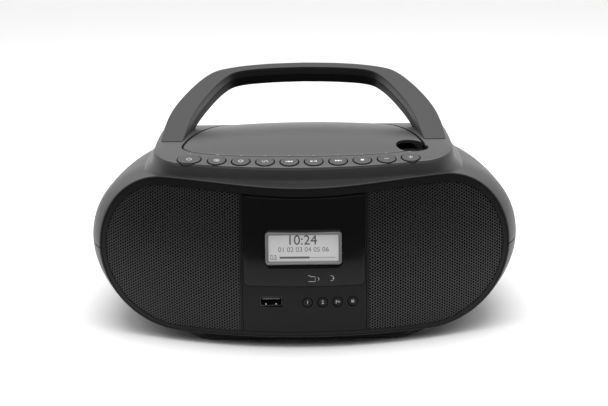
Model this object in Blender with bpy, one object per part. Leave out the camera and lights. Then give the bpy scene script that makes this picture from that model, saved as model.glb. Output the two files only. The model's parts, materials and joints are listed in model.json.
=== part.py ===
"""Portable CD and radio player with a fixed carrying handle.

Frame: metres, +Z up, front towards -Y, origin on the ground below the middle of the whole object.
Driving sizes come first, and every piece is worked out from them.
"""
import math

import bmesh
import bpy
from mathutils import Matrix, Vector

# --- Overall --------------------------------------------------------------------------------------
DEPTH = 0.2368           # front of the panel to the back of the aerial
AXIS_Z = 0.061           # height where the round ends are widest
SEAM_Z = 0.059           # parting line between the two case halves
GAP = 0.0003             # clearance between pieces that meet
TINY = 0.000002          # points closer than this are one point
SLIT = 0.0009            # visible gap round the lid

# --- Front face: a shallow bowl that curves back towards the ends ---------------------------------
FACE_NEAREST_Z = 0.024   # height of the point that is furthest forward
FACE_RADIUS_X = 0.250
FACE_RADIUS_Z = 0.243
FACE_CELL = 0.015        # grid step of the curved plates

# --- Outline of the black front frame -------------------------------------------------------------
FRAME_HALF_WIDTH = 0.142
UPPER_RUN = 0.0465       # half-axes of the round ends, above and below the axis
UPPER_RISE = 0.050
LOWER_RUN = 0.057
LOWER_DROP = 0.0525
LIP_DIP = 0.0044         # the top edge sags by this much in the middle
FRAME_THICK = 0.0045
SIDE_BORDER = 0.0035
TOP_BORDER = 0.0047
BOTTOM_BORDER = 0.0029

# --- Case -----------------------------------------------------------------------------------------
CASE_LIP = 0.0012        # rim of the case round the front frame
SWELL_SIDE = 0.0100      # growth from the front rim to the widest section
SWELL_TOP = 0.0020
SWELL_BOTTOM = 0.0005
SWELL_RUN = 0.0345
DIP_RUN = 0.080
REAR_RUN = 0.155         # length over which the back rounds in
REAR_SIDE = 0.0249
REAR_TOP = 0.0203
REAR_BOTTOM = 0.014
WALL = 0.0025
REAR_CLEAR = 0.0085      # room for the aerial behind the back wall
RIM_DEPTH = 0.008        # straight part of the opening that holds the front frame

# --- Plinth and feet ------------------------------------------------------------------------------
PLINTH_TOP_HALF = 0.105
PLINTH_BOTTOM_HALF = 0.086
PLINTH_SETBACK = 0.0055  # behind the lower edge of the front frame
PLINTH_REAR = 0.030      # in front of the back wall
PLINTH_TOP_Z = 0.0165
PLINTH_BOTTOM_Z = 0.0015
FOOT_RADIUS = 0.007
FOOT_EASE = 0.0006
FOOT_X = 0.068
FOOT_FRONT_INSET = 0.020
FOOT_REAR_INSET = 0.020

# --- Raised deck ----------------------------------------------------------------------------------
DECK_CREST_Z = 0.1288
DECK_CREST_Y = -0.0145
DECK_RADIUS = 0.2625
DECK_HALF_WIDTH = 0.105
DECK_FRONT_SETBACK = 0.0289   # deck front edge behind the front of the panel
DECK_FRONT_RADIUS = 0.415
DECK_CORNER_RUN = 0.026
DECK_CORNER_DEPTH = 0.026
DECK_REAR_Y = 0.078
SKIRT_FLARE = 0.0085
SKIRT_HEIGHT = 0.0155
DECK_WALL = 0.0025

# --- CD well --------------------------------------------------------------------------------------
DISC_Y = -0.0035         # centre of the disc
WELL_RADIUS = 0.0625
WELL_FLOOR_Z = 0.107
WELL_WALL = 0.002
WELL_SIDES = 36
SHELF_DROP = 0.0060      # shelf under the lid, below the deck
SHELF_THICK = 0.002
SHELF_LAP = 0.0035       # how far the shelf reaches under the deck

# --- Lid ------------------------------------------------------------------------------------------
LID_HALF_WIDTH = 0.0845
LID_WIDEST_Y = -0.052
LID_FRONT = 0.0200       # from the widest line forward
LID_REAR = 0.1130        # and back
LID_FRONT_POWER = 2.5
LID_SIDE_POWER = 2.6
LID_TAIL_POWER = 1.25
LID_RISE = 0.0025
LID_THICK = 0.0028
HINGE_BEHIND = 0.0050    # hinge axis behind the end of the lid
HINGE_DROP = 0.0022      # and below the deck there
TAIL_CLEAR = 0.0006      # more room behind the lid's tail, which swings back as it opens
HINGE_RADIUS = 0.0022
HINGE_X = 0.024
HINGE_ARM = 0.008
HINGE_CLEAR = 0.0006
POCKET_X = 0.0765        # finger pocket at the lid's front corner
POCKET_HALF_X = 0.0110
POCKET_HALF_Y = 0.0075
POCKET_Y = -0.0590
NOTCH_X = 0.0755         # thumb notch in the lid's edge, over the pocket
NOTCH_Y = -0.0560
NOTCH_RADIUS = 0.0105

# --- Disc drive -----------------------------------------------------------------------------------
HUB_HOLE = 0.0085
HUB_RADIUS = 0.0080
HUB_BOTTOM = 0.1030
HUB_SEAT = 0.1085
HUB_TOP = 0.1115
HUB_TAPER = 0.0020
DISC_BORE = 0.0072
MOTOR_RADIUS = 0.0100
SLOT_HALF = 0.0060
SLOT_START = 0.004
SLOT_END = 0.0620
CHASSIS_Z = 0.0930
CHASSIS_THICK = 0.0016
CHASSIS_LEFT = 0.035
CHASSIS_RIGHT = 0.095
CHASSIS_HALF = 0.030
RAIL_START = 0.0175
RAIL_END = 0.0780
RAIL_Y = 0.0130
RAIL_Z = 0.0985
RAIL_RADIUS = 0.0015
RAIL_BEAM = 0.004        # beams that hold the rails run past them by this much
POST_HALF = 0.003
POST_INSET = 0.005
POST_SUNK = 0.001
LENS_RADIUS = 0.0035
LENS_RISE = 0.0005
PICKUP_X = 0.0250
PICKUP_HALF = 0.0070
CLAMP_RADIUS = 0.0150
CLAMP_DROP = 0.0110
CLAMP_GAP = 0.0010
CLAMP_RIM = 0.0020
CLAMP_STEM = 0.0050

# --- Handle ---------------------------------------------------------------------------------------
HANDLE_FOOT_Y = -0.0435
HANDLE_SLOPE = math.radians(20.0)
HANDLE_THICK = 0.0140
HANDLE_SPLIT = 0.0065
HANDLE_BULGE = 0.0028
HANDLE_OUTER = ((0.1015, 0.0), (0.0985, 0.039), (0.0886, 0.072), (0.0735, 0.101), (0.057, 0.1115),
                (0.030, 0.1172), (0.0, 0.1190))
HANDLE_INNER = ((0.0862, 0.0), (0.0810, 0.039), (0.0722, 0.069), (0.0612, 0.094), (0.050, 0.1050),
                (0.027, 0.1095), (0.0, 0.1110))

# --- Keys -----------------------------------------------------------------------------------------
KEY_RADIUS = 0.0061
KEY_PITCH = 0.0166
KEY_COUNT = 9
KEY_FIRST_X = -0.0592
POWER_KEY_X = -0.0782
POWER_KEY_STRETCH = 0.0018
KEY_ROW_SETBACK = 0.0375     # row behind the front of the panel
KEY_ROW_RADIUS = 0.589
KEY_PROUD = 0.0010
KEY_SIDE_GAP = 0.00035
KEY_FLANGE = 0.0010
KEY_FLANGE_OUT = 0.0006
KEY_DEPTH = 0.0046
FRONT_KEY_RADIUS = 0.00315
FRONT_KEY_Z = 0.0323
FRONT_KEY_X = 0.0020
FRONT_KEY_PITCH = 0.0101
FRONT_KEY_COUNT = 4
FRONT_KEY_SEAT = 0.0009  # the panel curves away behind the flange by this much

# --- Centre panel ---------------------------------------------------------------------------------
PANEL_HALF_WIDTH = 0.0415
PANEL_THICK = 0.0028
PANEL_RIB = 0.0010
WINDOW_SIDE = 0.0010
WINDOW_BOTTOM_Z = 0.0435
WINDOW_CORNER = 0.003
WINDOW_THICK = 0.0014
SCREEN_WIDTH = 0.0515
SCREEN_HEIGHT = 0.0223
SCREEN_Z = 0.0689
SCREEN_SINK = 0.0021
SCREEN_X = -0.0003
USB_X = -0.0225
USB_Z = 0.0328
USB_WIDTH = 0.0150
USB_HEIGHT = 0.0066
USB_DEPTH = 0.0160
USB_SUNK = 0.0010
USB_WALL = 0.0006
USB_BACK = 0.0030
TONGUE_INSET = 0.0009
TONGUE_BOTTOM = 0.0004
TONGUE_TOP = 0.0022

# --- Grilles and speakers -------------------------------------------------------------------------
GRILLE_SINK = 0.0004
GRILLE_THICK = 0.0010
SPEAKER_X = 0.0827
SPEAKER_Z = 0.0636
SPEAKER_RADIUS = 0.0385
SPEAKER_TURN = math.radians(18.3)
CONE_RADIUS = 0.0330
MAGNET_RADIUS = 0.0200
MAGNET_THICK = 0.0120
BASKET_DEPTH = 0.0220
BASKET_RIM = 0.0015
BASKET_WALL = 0.0018
BASKET_THROAT = 0.0040
NECK_INSET = 0.0040
SPEAKER_SIDES = 18
CONE_PROFILE = ((0.0, -0.0090), (0.009, -0.0125), (0.026, -0.0020), (0.029, 0.0006),   # cap, cone, surround
                (CONE_RADIUS, -0.0012), (CONE_RADIUS, -0.0022), (0.029, -0.0004), (0.026, -0.0032),
                (0.009, -0.0140), (0.0, -0.0105))

# --- Battery box and sockets ----------------------------------------------------------------------
BATTERY_HALF_WIDTH = 0.0790
BATTERY_BOTTOM_Z = 0.0260
BATTERY_TOP_Z = 0.0545
BATTERY_DEPTH = 0.056
DOOR_GAP = 0.0004
GROOVE_PITCH = 0.0040
GROOVE_HALF = 0.0008
GROOVE_DEEP = 0.0008
GROOVE_END = 0.0090
TRAY_WALL = 0.0015
TRAY_INSET = 0.0010
INLET_X = 0.095
INLET_Z = 0.0730
INLET_WIDTH = 0.0240
INLET_HEIGHT = 0.0150
JACK_X = -0.105
JACK_PITCH = 0.018
JACK_Z = 0.0730
JACK_RADIUS = 0.0045
JACK_BORE = 0.0018
JACK_BORDER = 0.0020
JACK_DEPTH = 0.0140
JACK_BORE_END = 0.0020   # material left behind a jack's bore
INLET_DEPTH = 0.0200
MOUTH_HALF = (0.0092, 0.0047)
MOUTH_CORNER = 0.0040
MOUTH_DEPTH = 0.0130
PIN_RADIUS = 0.0012
PIN_SPREAD = 0.0043
PIN_SUNK = 0.0030

# --- Boards and transformer -----------------------------------------------------------------------
BOARD = 0.0016
MAIN_BOARD_HALF = 0.072
MAIN_BOARD_FRONT = -0.010
MAIN_BOARD_REAR = 0.085
MAIN_BOARD_Z = 0.066
FRONT_BOARD_HALF = 0.036
FRONT_BOARD_Y = -0.1030
FRONT_BOARD_BOTTOM = 0.024
FRONT_BOARD_TOP = 0.086
FRONT_KEY_CLEAR = 0.0012
KEY_BOARD_HALF = 0.084
KEY_BOARD_AHEAD = 0.0045
KEY_BOARD_BEHIND = 0.0038
KEY_BOARD_CLEAR = 0.0012
TRANSFORMER_X = 0.090
TRANSFORMER_Y = 0.022
TRANSFORMER_COIL = (0.020, 0.018, 0.020, 0.052)   # half width, half depth, bottom and top
TRANSFORMER_CORE = (0.014, 0.023, 0.024, 0.048)
BOARD_PARTS = ((-0.045, 0.055, 0.008, 0.008, 0.0103),   # place, half sizes and height of the tall parts
               (0.010, 0.060, 0.015, 0.005, 0.0123),
               (0.052, 0.030, 0.005, 0.005, 0.0163))
USB_BOARD_CLEAR = 0.0010

# --- Aerial ---------------------------------------------------------------------------------------
AERIAL_X = -0.094        # pivot
AERIAL_Z = 0.0880
AERIAL_LENGTH = 0.176
AERIAL_REST = 0.9        # the ledge lies this far along the mast
AERIAL_RADII = (0.0032, 0.0024, 0.0016)
AERIAL_OUT = 0.0048      # mast axis behind the back wall
BOSS_RADIUS = 0.0060
BOSS_RISE = 0.0015
LEDGE_HALF = 0.0040
LEDGE_THICK = 0.0020
SWIVEL_RADIUS = 0.0052
SWIVEL_TOP = 0.0024
CHEEK_HALF = 0.0028
CHEEK_INNER = 0.0025
CHEEK_OUTER = 0.0040
ROOT_RADIUS = 0.0022
ROOT_TONGUE = (0.0015, 0.0020)
MAST_START = 0.0080      # the lowest section begins this far from the pivot
MAST_STEP = 0.0020
MAST_SIDES = 14
TIP_LENGTH = 0.0040
TIP_EASE = 0.0010

# --- Case fixings and openings --------------------------------------------------------------------
FOOT_SEAT_Z = 0.0030
SCREW_SHARE = 0.78       # screws lie this share of the way out to the feet
SCREW_HEAD_Z = 0.0017
SCREW_HEAD_THICK = 0.0009
SCREW_HEAD_RADIUS = 0.0028
SCREW_RADIUS = 0.0014
SCREW_LENGTH = 0.012
TOP_OPENING_HALF = 0.094
TOP_OPENING_INSET = 0.0314
TOP_OPENING_REAR = 0.0710
TOP_OPENING_CORNER = 0.0160
SPEAKER_BEHIND = 0.0090  # speaker rim behind the face
SPEAKER_HOLE_CLEAR = 0.0020
SCREEN_THICK = 0.0050
SCREEN_LAP = 0.0030
SCREEN_BACKING = 0.0026
ROUND = 20               # sides of small round pieces
PAST = 0.0100            # cutters run past the surface by this much
TOP_CUT = (0.0800, 0.1500)   # heights between which the deck and the lid are cut from above
DECK_KEY_SIDES = 14
FRONT_KEY_SIDES = 10

# --- Places that follow from the sizes above ------------------------------------------------------
FRONT_Y = -DEPTH / 2
BACK_WALL_Y = DEPTH / 2 - REAR_CLEAR
DECK_FRONT_Y = FRONT_Y + DECK_FRONT_SETBACK
KEY_ROW_Y = FRONT_Y + KEY_ROW_SETBACK
PLINTH_FRONT_Y = FRONT_Y + PLINTH_SETBACK
PLINTH_REAR_Y = BACK_WALL_Y - PLINTH_REAR
HINGE_Y = LID_WIDEST_Y + LID_REAR + HINGE_BEHIND
HINGE_FRONT_Y = HINGE_Y - 0.0125
AERIAL_Y = BACK_WALL_Y + AERIAL_OUT


def face_y(x, z):
    """Depth of the curved front face at a point."""
    rise = z - FACE_NEAREST_Z
    return FRONT_Y + x * x / (2 * FACE_RADIUS_X) + rise * rise / (2 * FACE_RADIUS_Z)


def deck_z(y):
    """Height of the deck, an arc from front to back."""
    return DECK_CREST_Z - (y - DECK_CREST_Y) ** 2 / (2 * DECK_RADIUS)


def deck_tilt(y):
    """Angle of the deck about X at a depth; positive rises towards the back."""
    return -math.atan((y - DECK_CREST_Y) / DECK_RADIUS)


# --- Scene helpers --------------------------------------------------------------------------------
def clear_scene():
    for old in list(bpy.data.objects):
        bpy.data.objects.remove(old, do_unlink=True)


def material(name, colour, roughness, metallic=0.0):
    """A Principled surface of one grey or colour."""
    surface = bpy.data.materials.new(name)
    surface.use_nodes = True
    shader = surface.node_tree.nodes["Principled BSDF"]
    shader.inputs["Base Color"].default_value = (*colour, 1.0)
    shader.inputs["Roughness"].default_value = roughness
    shader.inputs["Metallic"].default_value = metallic
    surface.diffuse_color = (*colour, 1.0)
    return surface


def to_object(bm, name, surface=None):
    """Turn a bmesh into an object in the scene, with its faces pointing out."""
    bmesh.ops.remove_doubles(bm, verts=bm.verts, dist=TINY)
    bmesh.ops.recalc_face_normals(bm, faces=bm.faces)
    mesh = bpy.data.meshes.new(name)
    bm.to_mesh(mesh)
    bm.free()
    body = bpy.data.objects.new(name, mesh)
    bpy.context.scene.collection.objects.link(body)
    if surface:
        mesh.materials.append(surface)
    return body


def settle(body):
    """Replace an object's mesh by its evaluated shape."""
    graph = bpy.context.evaluated_depsgraph_get()
    mesh = bpy.data.meshes.new_from_object(body.evaluated_get(graph))
    bm = bmesh.new()
    bm.from_mesh(mesh)
    bmesh.ops.remove_doubles(bm, verts=bm.verts, dist=TINY)
    bmesh.ops.dissolve_degenerate(bm, edges=bm.edges, dist=TINY)
    bm.to_mesh(mesh)
    bm.free()
    body.modifiers.clear()
    body.data = mesh
    return body


def combine(body, tool, operation):
    """Boolean of an object with a tool, which is then removed."""
    step = body.modifiers.new(operation, "BOOLEAN")
    step.operation = operation
    step.solver = "EXACT"
    step.object = tool
    settle(body)
    bpy.data.objects.remove(tool, do_unlink=True)
    return body


def cut(body, *tools):
    for tool in tools:
        combine(body, tool, "DIFFERENCE")
    return body


def join(body, *tools):
    for tool in tools:
        combine(body, tool, "UNION")
    return body


def common(body, tool):
    return combine(body, tool, "INTERSECT")


def name_it(body, name, surface):
    """Give a finished object its name and its surface."""
    body.name = name
    body.data.name = name
    body.data.materials.clear()
    body.data.materials.append(surface)
    return body


def place(body, matrix):
    """Move an object's mesh by a matrix, keeping the object at the origin."""
    body.data.transform(matrix)
    return body


def set_origin(body, point):
    """Put an object's origin on its joint axis without moving its shape."""
    body.data.transform(Matrix.Translation(-Vector(point)))
    body.location = point
    return body


# --- Basic solids ---------------------------------------------------------------------------------
def box(low, high, name="box"):
    bm = bmesh.new()
    bmesh.ops.create_cube(bm, size=1.0)
    size = [high[i] - low[i] for i in range(3)]
    middle = [(high[i] + low[i]) / 2 for i in range(3)]
    for vert in bm.verts:
        vert.co = Vector(vert.co[i] * size[i] + middle[i] for i in range(3))
    return to_object(bm, name)


def loft(rings, name="loft"):
    """A closed solid through rings of equal counts, with flat ends."""
    bm = bmesh.new()
    rows = [[bm.verts.new(point) for point in ring] for ring in rings]
    count = len(rows[0])
    for near, far in zip(rows, rows[1:]):
        for i in range(count):
            j = (i + 1) % count
            bm.faces.new((near[i], near[j], far[j], far[i]))
    bm.faces.new(rows[0])
    bm.faces.new(rows[-1])
    return to_object(bm, name)


def prism_y(outline, front, back):
    """An outline in X and Z, run from front to back."""
    return loft([[(x, y, z) for x, z in outline] for y in (front, back)])


def prism_z(outline, bottom, top):
    """An outline in X and Y, run from bottom to top."""
    return loft([[(x, y, z) for x, y in outline] for z in (bottom, top)])


def lathe(profile, sides=ROUND, name="lathe"):
    """A solid of revolution about Z from (radius, height) points; end radii may be zero."""
    bm = bmesh.new()
    rows = []
    for radius, height in profile:
        if radius < 1e-7:
            rows.append([bm.verts.new((0.0, 0.0, height))])
            continue
        turn = [2 * math.pi * i / sides for i in range(sides)]
        rows.append([bm.verts.new((radius * math.cos(a), radius * math.sin(a), height)) for a in turn])
    for near, far in zip(rows, rows[1:]):
        for i in range(sides):
            j = (i + 1) % sides
            corners = [near[i % len(near)], near[j % len(near)], far[j % len(far)], far[i % len(far)]]
            bm.faces.new(list(dict.fromkeys(corners)))
    for row in (rows[0], rows[-1]):
        if len(row) > 1:
            bm.faces.new(row)
    return to_object(bm, name)


def disc(radius, low, high, sides=ROUND):
    """A plain cylinder about Z."""
    return lathe(((0.0, low), (radius, low), (radius, high), (0.0, high)), sides)


def rounded_outline(half_x, half_z, radius, steps=5, middle=(0.0, 0.0)):
    """A rectangle with round corners, anticlockwise."""
    points = []
    for quarter, (sx, sz) in enumerate(((1, 1), (-1, 1), (-1, -1), (1, -1))):
        for i in range(steps + 1):
            angle = math.pi / 2 * (quarter + i / steps)
            x = middle[0] + sx * (half_x - radius) + radius * math.cos(angle)
            z = middle[1] + sz * (half_z - radius) + radius * math.sin(angle)
            points.append((x, z))
    return points


def spline(points, steps):
    """A smooth curve through points, ends included."""
    ends = [points[0]] + list(points) + [points[-1]]
    result = []
    for a, b, c, d in zip(ends, ends[1:], ends[2:], ends[3:]):
        for i in range(steps):
            t = i / steps
            result.append(tuple(0.5 * (2 * q + (r - p) * t + (2 * p - 5 * q + 4 * r - s) * t * t
                                       + (3 * q - p - 3 * r + s) * t ** 3)
                                for p, q, r, s in zip(a, b, c, d)))
    result.append(tuple(points[-1]))
    return result


# --- Shape of the case ----------------------------------------------------------------------------
def dip_at(x, reach, dip):
    """How far the top edge sags at x."""
    if abs(x) >= reach:
        return 0.0
    return dip * math.cos(math.pi * x / (2 * reach)) ** 2


def outline_stations(cap_steps=7, flat_steps=8):
    """Places round the case outline, anticlockwise from the bottom right: which run, and how far along."""
    turns = [math.pi / 2 * i / cap_steps for i in range(-cap_steps, cap_steps + 1)]
    flats = [1 - 2 * i / flat_steps for i in range(1, flat_steps)]
    right = [("right", turn) for turn in turns]
    left = [("left", turn) for turn in reversed(turns)]
    return right + [("top", flat) for flat in flats] + left + [("under", -flat) for flat in flats]


def outline_point(run, along, side=0.0, top=0.0, bottom=0.0, dip=LIP_DIP):
    """A point of the case outline, grown at the sides, top and bottom."""
    upper_x = FRAME_HALF_WIDTH - UPPER_RUN
    lower_x = FRAME_HALF_WIDTH - LOWER_RUN
    if run == "top":
        x = upper_x * along
        return x, AXIS_Z + UPPER_RISE + top - dip_at(x, upper_x, dip)
    if run == "under":
        return lower_x * along, AXIS_Z - LOWER_DROP - bottom
    mirror = 1 if run == "right" else -1
    if along >= 0:
        reach = upper_x + (UPPER_RUN + side) * math.cos(along)
        return mirror * reach, AXIS_Z + (UPPER_RISE + top) * math.sin(along)
    reach = lower_x + (LOWER_RUN + side) * math.cos(along)
    return mirror * reach, AXIS_Z + (LOWER_DROP + bottom) * math.sin(along)


def outline(side=0.0, top=0.0, bottom=0.0):
    return [outline_point(*station, side, top, bottom) for station in outline_stations()]


def half_outline(start_x, side=0.0, top=0.0, bottom=0.0):
    """The right part of the outline, cut off by an upright line at start_x."""
    points = {"right": [], "top": [], "under": [], "left": []}
    for run, along in outline_stations():
        points[run].append(outline_point(run, along, side, top, bottom))
    under = [p for p in points["under"] if p[0] > start_x + 0.002]
    across = [p for p in points["top"] if p[0] > start_x + 0.002]
    low = (start_x, AXIS_Z - LOWER_DROP - bottom)
    high = (start_x, AXIS_Z + UPPER_RISE + top - dip_at(start_x, FRAME_HALF_WIDTH - UPPER_RUN, LIP_DIP))
    return [low] + under + points["right"] + across + [high]


def ease_out(u):
    return 1 - (1 - u) ** 2


def smooth(u):
    return u * u * (3 - 2 * u)


def growth(back, left):
    """Growth of the case at a distance behind its front rim, with a distance left to the back wall."""
    u = min(1.0, max(0.0, back / SWELL_RUN))
    fade = 1 - smooth(min(1.0, max(0.0, back / DIP_RUN)))
    v = min(1.0, max(0.0, 1 - left / REAR_RUN))
    quarter = 1 - math.sqrt(1 - v * v)
    tuck = (quarter + v * v) / 2
    side = CASE_LIP + SWELL_SIDE * ease_out(u) - REAR_SIDE * tuck
    top = CASE_LIP + SWELL_TOP * smooth(u) - REAR_TOP * tuck
    bottom = CASE_LIP + SWELL_BOTTOM * smooth(u) - REAR_BOTTOM * quarter
    return side, top, bottom, LIP_DIP * fade


FRONT_STEPS = (0.0, 0.008, 0.018, 0.030, 0.045, 0.070)
REAR_STEPS = (0.105, 0.070, 0.045, 0.025, 0.012, 0.004, 0.0)
FRONT_SHARE = 0.40       # the most of the side's depth that the front steps may reach over
REAR_SHARE = 0.58


def ring_back(origin, step, depth):
    """How far behind the front rim a ring lies, with the middle rings closer together on a short side."""
    if origin == "front":
        return min(step, depth * FRONT_SHARE)
    return depth - min(step, depth * REAR_SHARE)


def barrel(grow=0.0):
    """The outer shape of the case, a swelling tube between the curved front and the back wall."""
    stations = outline_stations()
    inner_rim = [outline_point(*station, *(3 * [-SIDE_BORDER])) for station in stations]
    rings = [[(x, FRONT_Y - 0.01, z) for x, z in inner_rim], [(x, face_y(x, z), z) for x, z in inner_rim]]
    for origin, steps in (("front", FRONT_STEPS), ("rear", REAR_STEPS)):
        for step in steps:
            ring = []
            for station in stations:
                front = face_y(*outline_point(*station))
                back = ring_back(origin, step, BACK_WALL_Y - front)
                side, top, bottom, dip = growth(back, BACK_WALL_Y - front - back)
                x, z = outline_point(*station, side + grow, top + grow, bottom + grow, dip)
                ring.append((x, front + back, z))
            rings.append(ring)
    return loft(rings, "barrel")


def barrel_inside():
    """The hollow of the case: a straight mouth for the front frame, then the outer shape less its wall."""
    mouth = [outline_point(*station, GAP, GAP, GAP) for station in outline_stations()]
    rings = [[(x, FRONT_Y - 0.02, z) for x, z in mouth]]
    places = [("front", RIM_DEPTH, 0.0), ("front", RIM_DEPTH + 0.005, 1.0)]
    places += [("front", step, 1.0) for step in FRONT_STEPS[2:]]
    places += [("rear", step, 1.0) for step in REAR_STEPS[:-2] + (WALL,)]
    for origin, step, blend in places:
        ring = []
        for station in outline_stations():
            front = face_y(*outline_point(*station))
            back = ring_back(origin, step, BACK_WALL_Y - front)
            side, top, bottom, dip = growth(back, BACK_WALL_Y - front - back)
            grown = [GAP + blend * (size - WALL - GAP) for size in (side, top, bottom)]
            x, z = outline_point(*station, *grown, LIP_DIP + blend * (dip - LIP_DIP))
            ring.append((x, front + back, z))
        rings.append(ring)
    return loft(rings, "barrel_inside")


def plinth(inset=0.0):
    """The foot of the case, with ends that slope in towards the ground."""
    rings = []
    floor = PLINTH_BOTTOM_Z + inset
    for share, height in ((0.0, floor), (0.25, floor + 0.0012), (0.75, floor + 0.005), (1.0, PLINTH_TOP_Z)):
        half = PLINTH_BOTTOM_HALF + (PLINTH_TOP_HALF - PLINTH_BOTTOM_HALF) * share - inset
        front = PLINTH_FRONT_Y + inset
        rear = PLINTH_REAR_Y - inset
        ring = []
        for x, y in rounded_outline(half, (rear - front) / 2, 0.022, 5, (0.0, (rear + front) / 2)):
            bow = half * half / (2 * FACE_RADIUS_X)
            setback = x * x / (2 * FACE_RADIUS_X) if y < (rear + front) / 2 else 0.0
            ring.append((x, y + min(setback, bow), height))
        rings.append(ring)
    return loft(rings, "plinth")


def grid_steps(low, high, step, anchor):
    """Even steps through an anchor that cover a range, with one step to spare at each end."""
    first = math.floor((low - anchor) / step) - 1
    last = math.ceil((high - anchor) / step) + 1
    return [anchor + i * step for i in range(first, last + 1)]


def face_slab(front, back, x_range, z_range):
    """A slab that follows the curved face, between two depths behind it."""
    xs = grid_steps(*x_range, FACE_CELL, 0.0)
    zs = grid_steps(*z_range, FACE_CELL, FACE_NEAREST_Z)
    bm = bmesh.new()
    sheets = []
    for depth in (front, back):
        sheets.append([[bm.verts.new((x, face_y(x, z) + depth, z)) for z in zs] for x in xs])
    for sheet in sheets:
        for near, far in zip(sheet, sheet[1:]):
            for i in range(len(zs) - 1):
                bm.faces.new((near[i], near[i + 1], far[i + 1], far[i]))
    near, far = sheets
    rim = [(i, 0) for i in range(len(xs))] + [(len(xs) - 1, j) for j in range(1, len(zs))]
    rim += [(i, len(zs) - 1) for i in range(len(xs) - 2, -1, -1)]
    rim += [(0, j) for j in range(len(zs) - 2, 0, -1)]
    for a, b in zip(rim, rim[1:] + rim[:1]):
        bm.faces.new((near[a[0]][a[1]], near[b[0]][b[1]], far[b[0]][b[1]], far[a[0]][a[1]]))
    return to_object(bm, "face_slab")


def face_plate(points, front, back):
    """A plate of an outline in X and Z that follows the curved face."""
    xs = [p[0] for p in points]
    zs = [p[1] for p in points]
    plate = prism_y(points, FRONT_Y - 0.02, 0.0)
    return common(plate, face_slab(front, back, (min(xs), max(xs)), (min(zs), max(zs))))


def deck_slab(top, bottom, half=0.13):
    """A slab that follows the deck, between two heights relative to it."""
    ys = [DECK_FRONT_Y - 0.02 + 0.010 * i for i in range(22)]
    profile = [(y, deck_z(y) + top) for y in ys] + [(y, deck_z(y) + bottom) for y in reversed(ys)]
    return loft([[(x, y, z) for y, z in profile] for x in (-half, half)], "deck_slab")


def deck_front(x):
    return DECK_FRONT_Y + x * x / (2 * DECK_FRONT_RADIUS)


def deck_outline(grow):
    """Plan of the raised deck: a bowed front, round front corners and straight sides."""
    corner_x = DECK_HALF_WIDTH - DECK_CORNER_RUN
    corner_y = deck_front(corner_x) + DECK_CORNER_DEPTH
    right = []
    for i in range(7):
        angle = math.pi / 2 * i / 6
        right.append((corner_x + (DECK_CORNER_RUN + grow) * math.sin(angle),
                      corner_y - (DECK_CORNER_DEPTH + grow) * math.cos(angle)))
    right.append((DECK_HALF_WIDTH + grow, DECK_REAR_Y + grow))
    front = [(corner_x * (i / 4 - 1), deck_front(corner_x * (i / 4 - 1)) - grow) for i in range(1, 8)]
    return front + right + [(-x, y) for x, y in reversed(right)]


def deck_block(grow, top):
    """The raised deck as a solid: its sides flare into the case, its top is the deck surface."""
    flare = ((-0.0005, -0.020), (-0.0005, 0.0), (0.0004, 0.0014), (0.0012, 0.0050),
             (0.0030, 0.0088), (0.0060, 0.0120), (SKIRT_FLARE, SKIRT_HEIGHT), (SKIRT_FLARE, 0.045))
    rings = []
    for out, down in flare:
        rings.append([(x, y, deck_z(y) - down) for x, y in deck_outline(grow + out)])
    return common(loft(rings, "deck_block"), deck_slab(top, -0.040, 0.16))


# --- Lid ------------------------------------------------------------------------------------------
def lid_outline(grow=0.0, tail=0.0, steps=8):
    """Plan of the lid: blunt in front, drawn out like an egg to the back."""
    half = LID_HALF_WIDTH + grow
    front = LID_FRONT + grow
    rear = LID_REAR + grow + tail
    right = []
    for i in range(-steps, steps + 1):
        angle = math.pi / 2 * i / steps
        across = math.cos(angle)
        along = abs(math.sin(angle))
        if i < 0:
            x = half * across ** (2 / LID_FRONT_POWER)
            y = LID_WIDEST_Y - front * along ** (2 / LID_FRONT_POWER)
        else:
            x = half * across ** (2 / LID_SIDE_POWER)
            y = LID_WIDEST_Y + rear * along ** (2 / LID_TAIL_POWER)
        right.append((max(x, 0.0), y))
    return right + [(-x, y) for x, y in reversed(right[1:-1])]


def lid_top(share, y):
    """Height of the lid at a share of the way from its middle to its edge."""
    return deck_z(y) + LID_RISE * (1 - share * share)


def lid_shell():
    middle = DECK_CREST_Y
    bm = bmesh.new()
    sheets = []
    for drop in (0.0, LID_THICK):
        rows = [[bm.verts.new((0.0, middle, lid_top(0.0, middle) - drop))]]
        for share in (0.35, 0.65, 0.87, 1.0):
            ring = []
            for x, y in lid_outline():
                yy = middle + (y - middle) * share
                ring.append(bm.verts.new((x * share, yy, lid_top(share, yy) - drop)))
            rows.append(ring)
        sheets.append(rows)
        for near, far in zip(rows, rows[1:]):
            count = len(far)
            for i in range(count):
                j = (i + 1) % count
                corners = [near[i % len(near)], near[j % len(near)], far[j], far[i]]
                bm.faces.new(list(dict.fromkeys(corners)))
    upper, lower = sheets[0][-1], sheets[1][-1]
    for i in range(len(upper)):
        j = (i + 1) % len(upper)
        bm.faces.new((upper[i], upper[j], lower[j], lower[i]))
    return to_object(bm, "lid_shell")


# --- Frames of reference for pieces that sit at an angle ------------------------------------------
def on_deck(x, y):
    """Frame at a point of the deck, with +Z along the deck's normal."""
    return Matrix.Translation((x, y, deck_z(y))) @ Matrix.Rotation(deck_tilt(y), 4, "X")


def facing_front(x, y, z, turn=0.0, lean=0.0):
    """Frame whose +Z points out of the front, turned to the side and leant back."""
    aim = Vector((math.tan(turn), -1.0, math.tan(lean))).normalized()
    across = Vector((0.0, 0.0, 1.0)).cross(aim).normalized()
    turned = Matrix((across, aim.cross(across), aim)).transposed()
    return Matrix.Translation((x, y, z)) @ turned.to_4x4()


def key_row_y(x):
    return KEY_ROW_Y + x * x / (2 * KEY_ROW_RADIUS)


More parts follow.
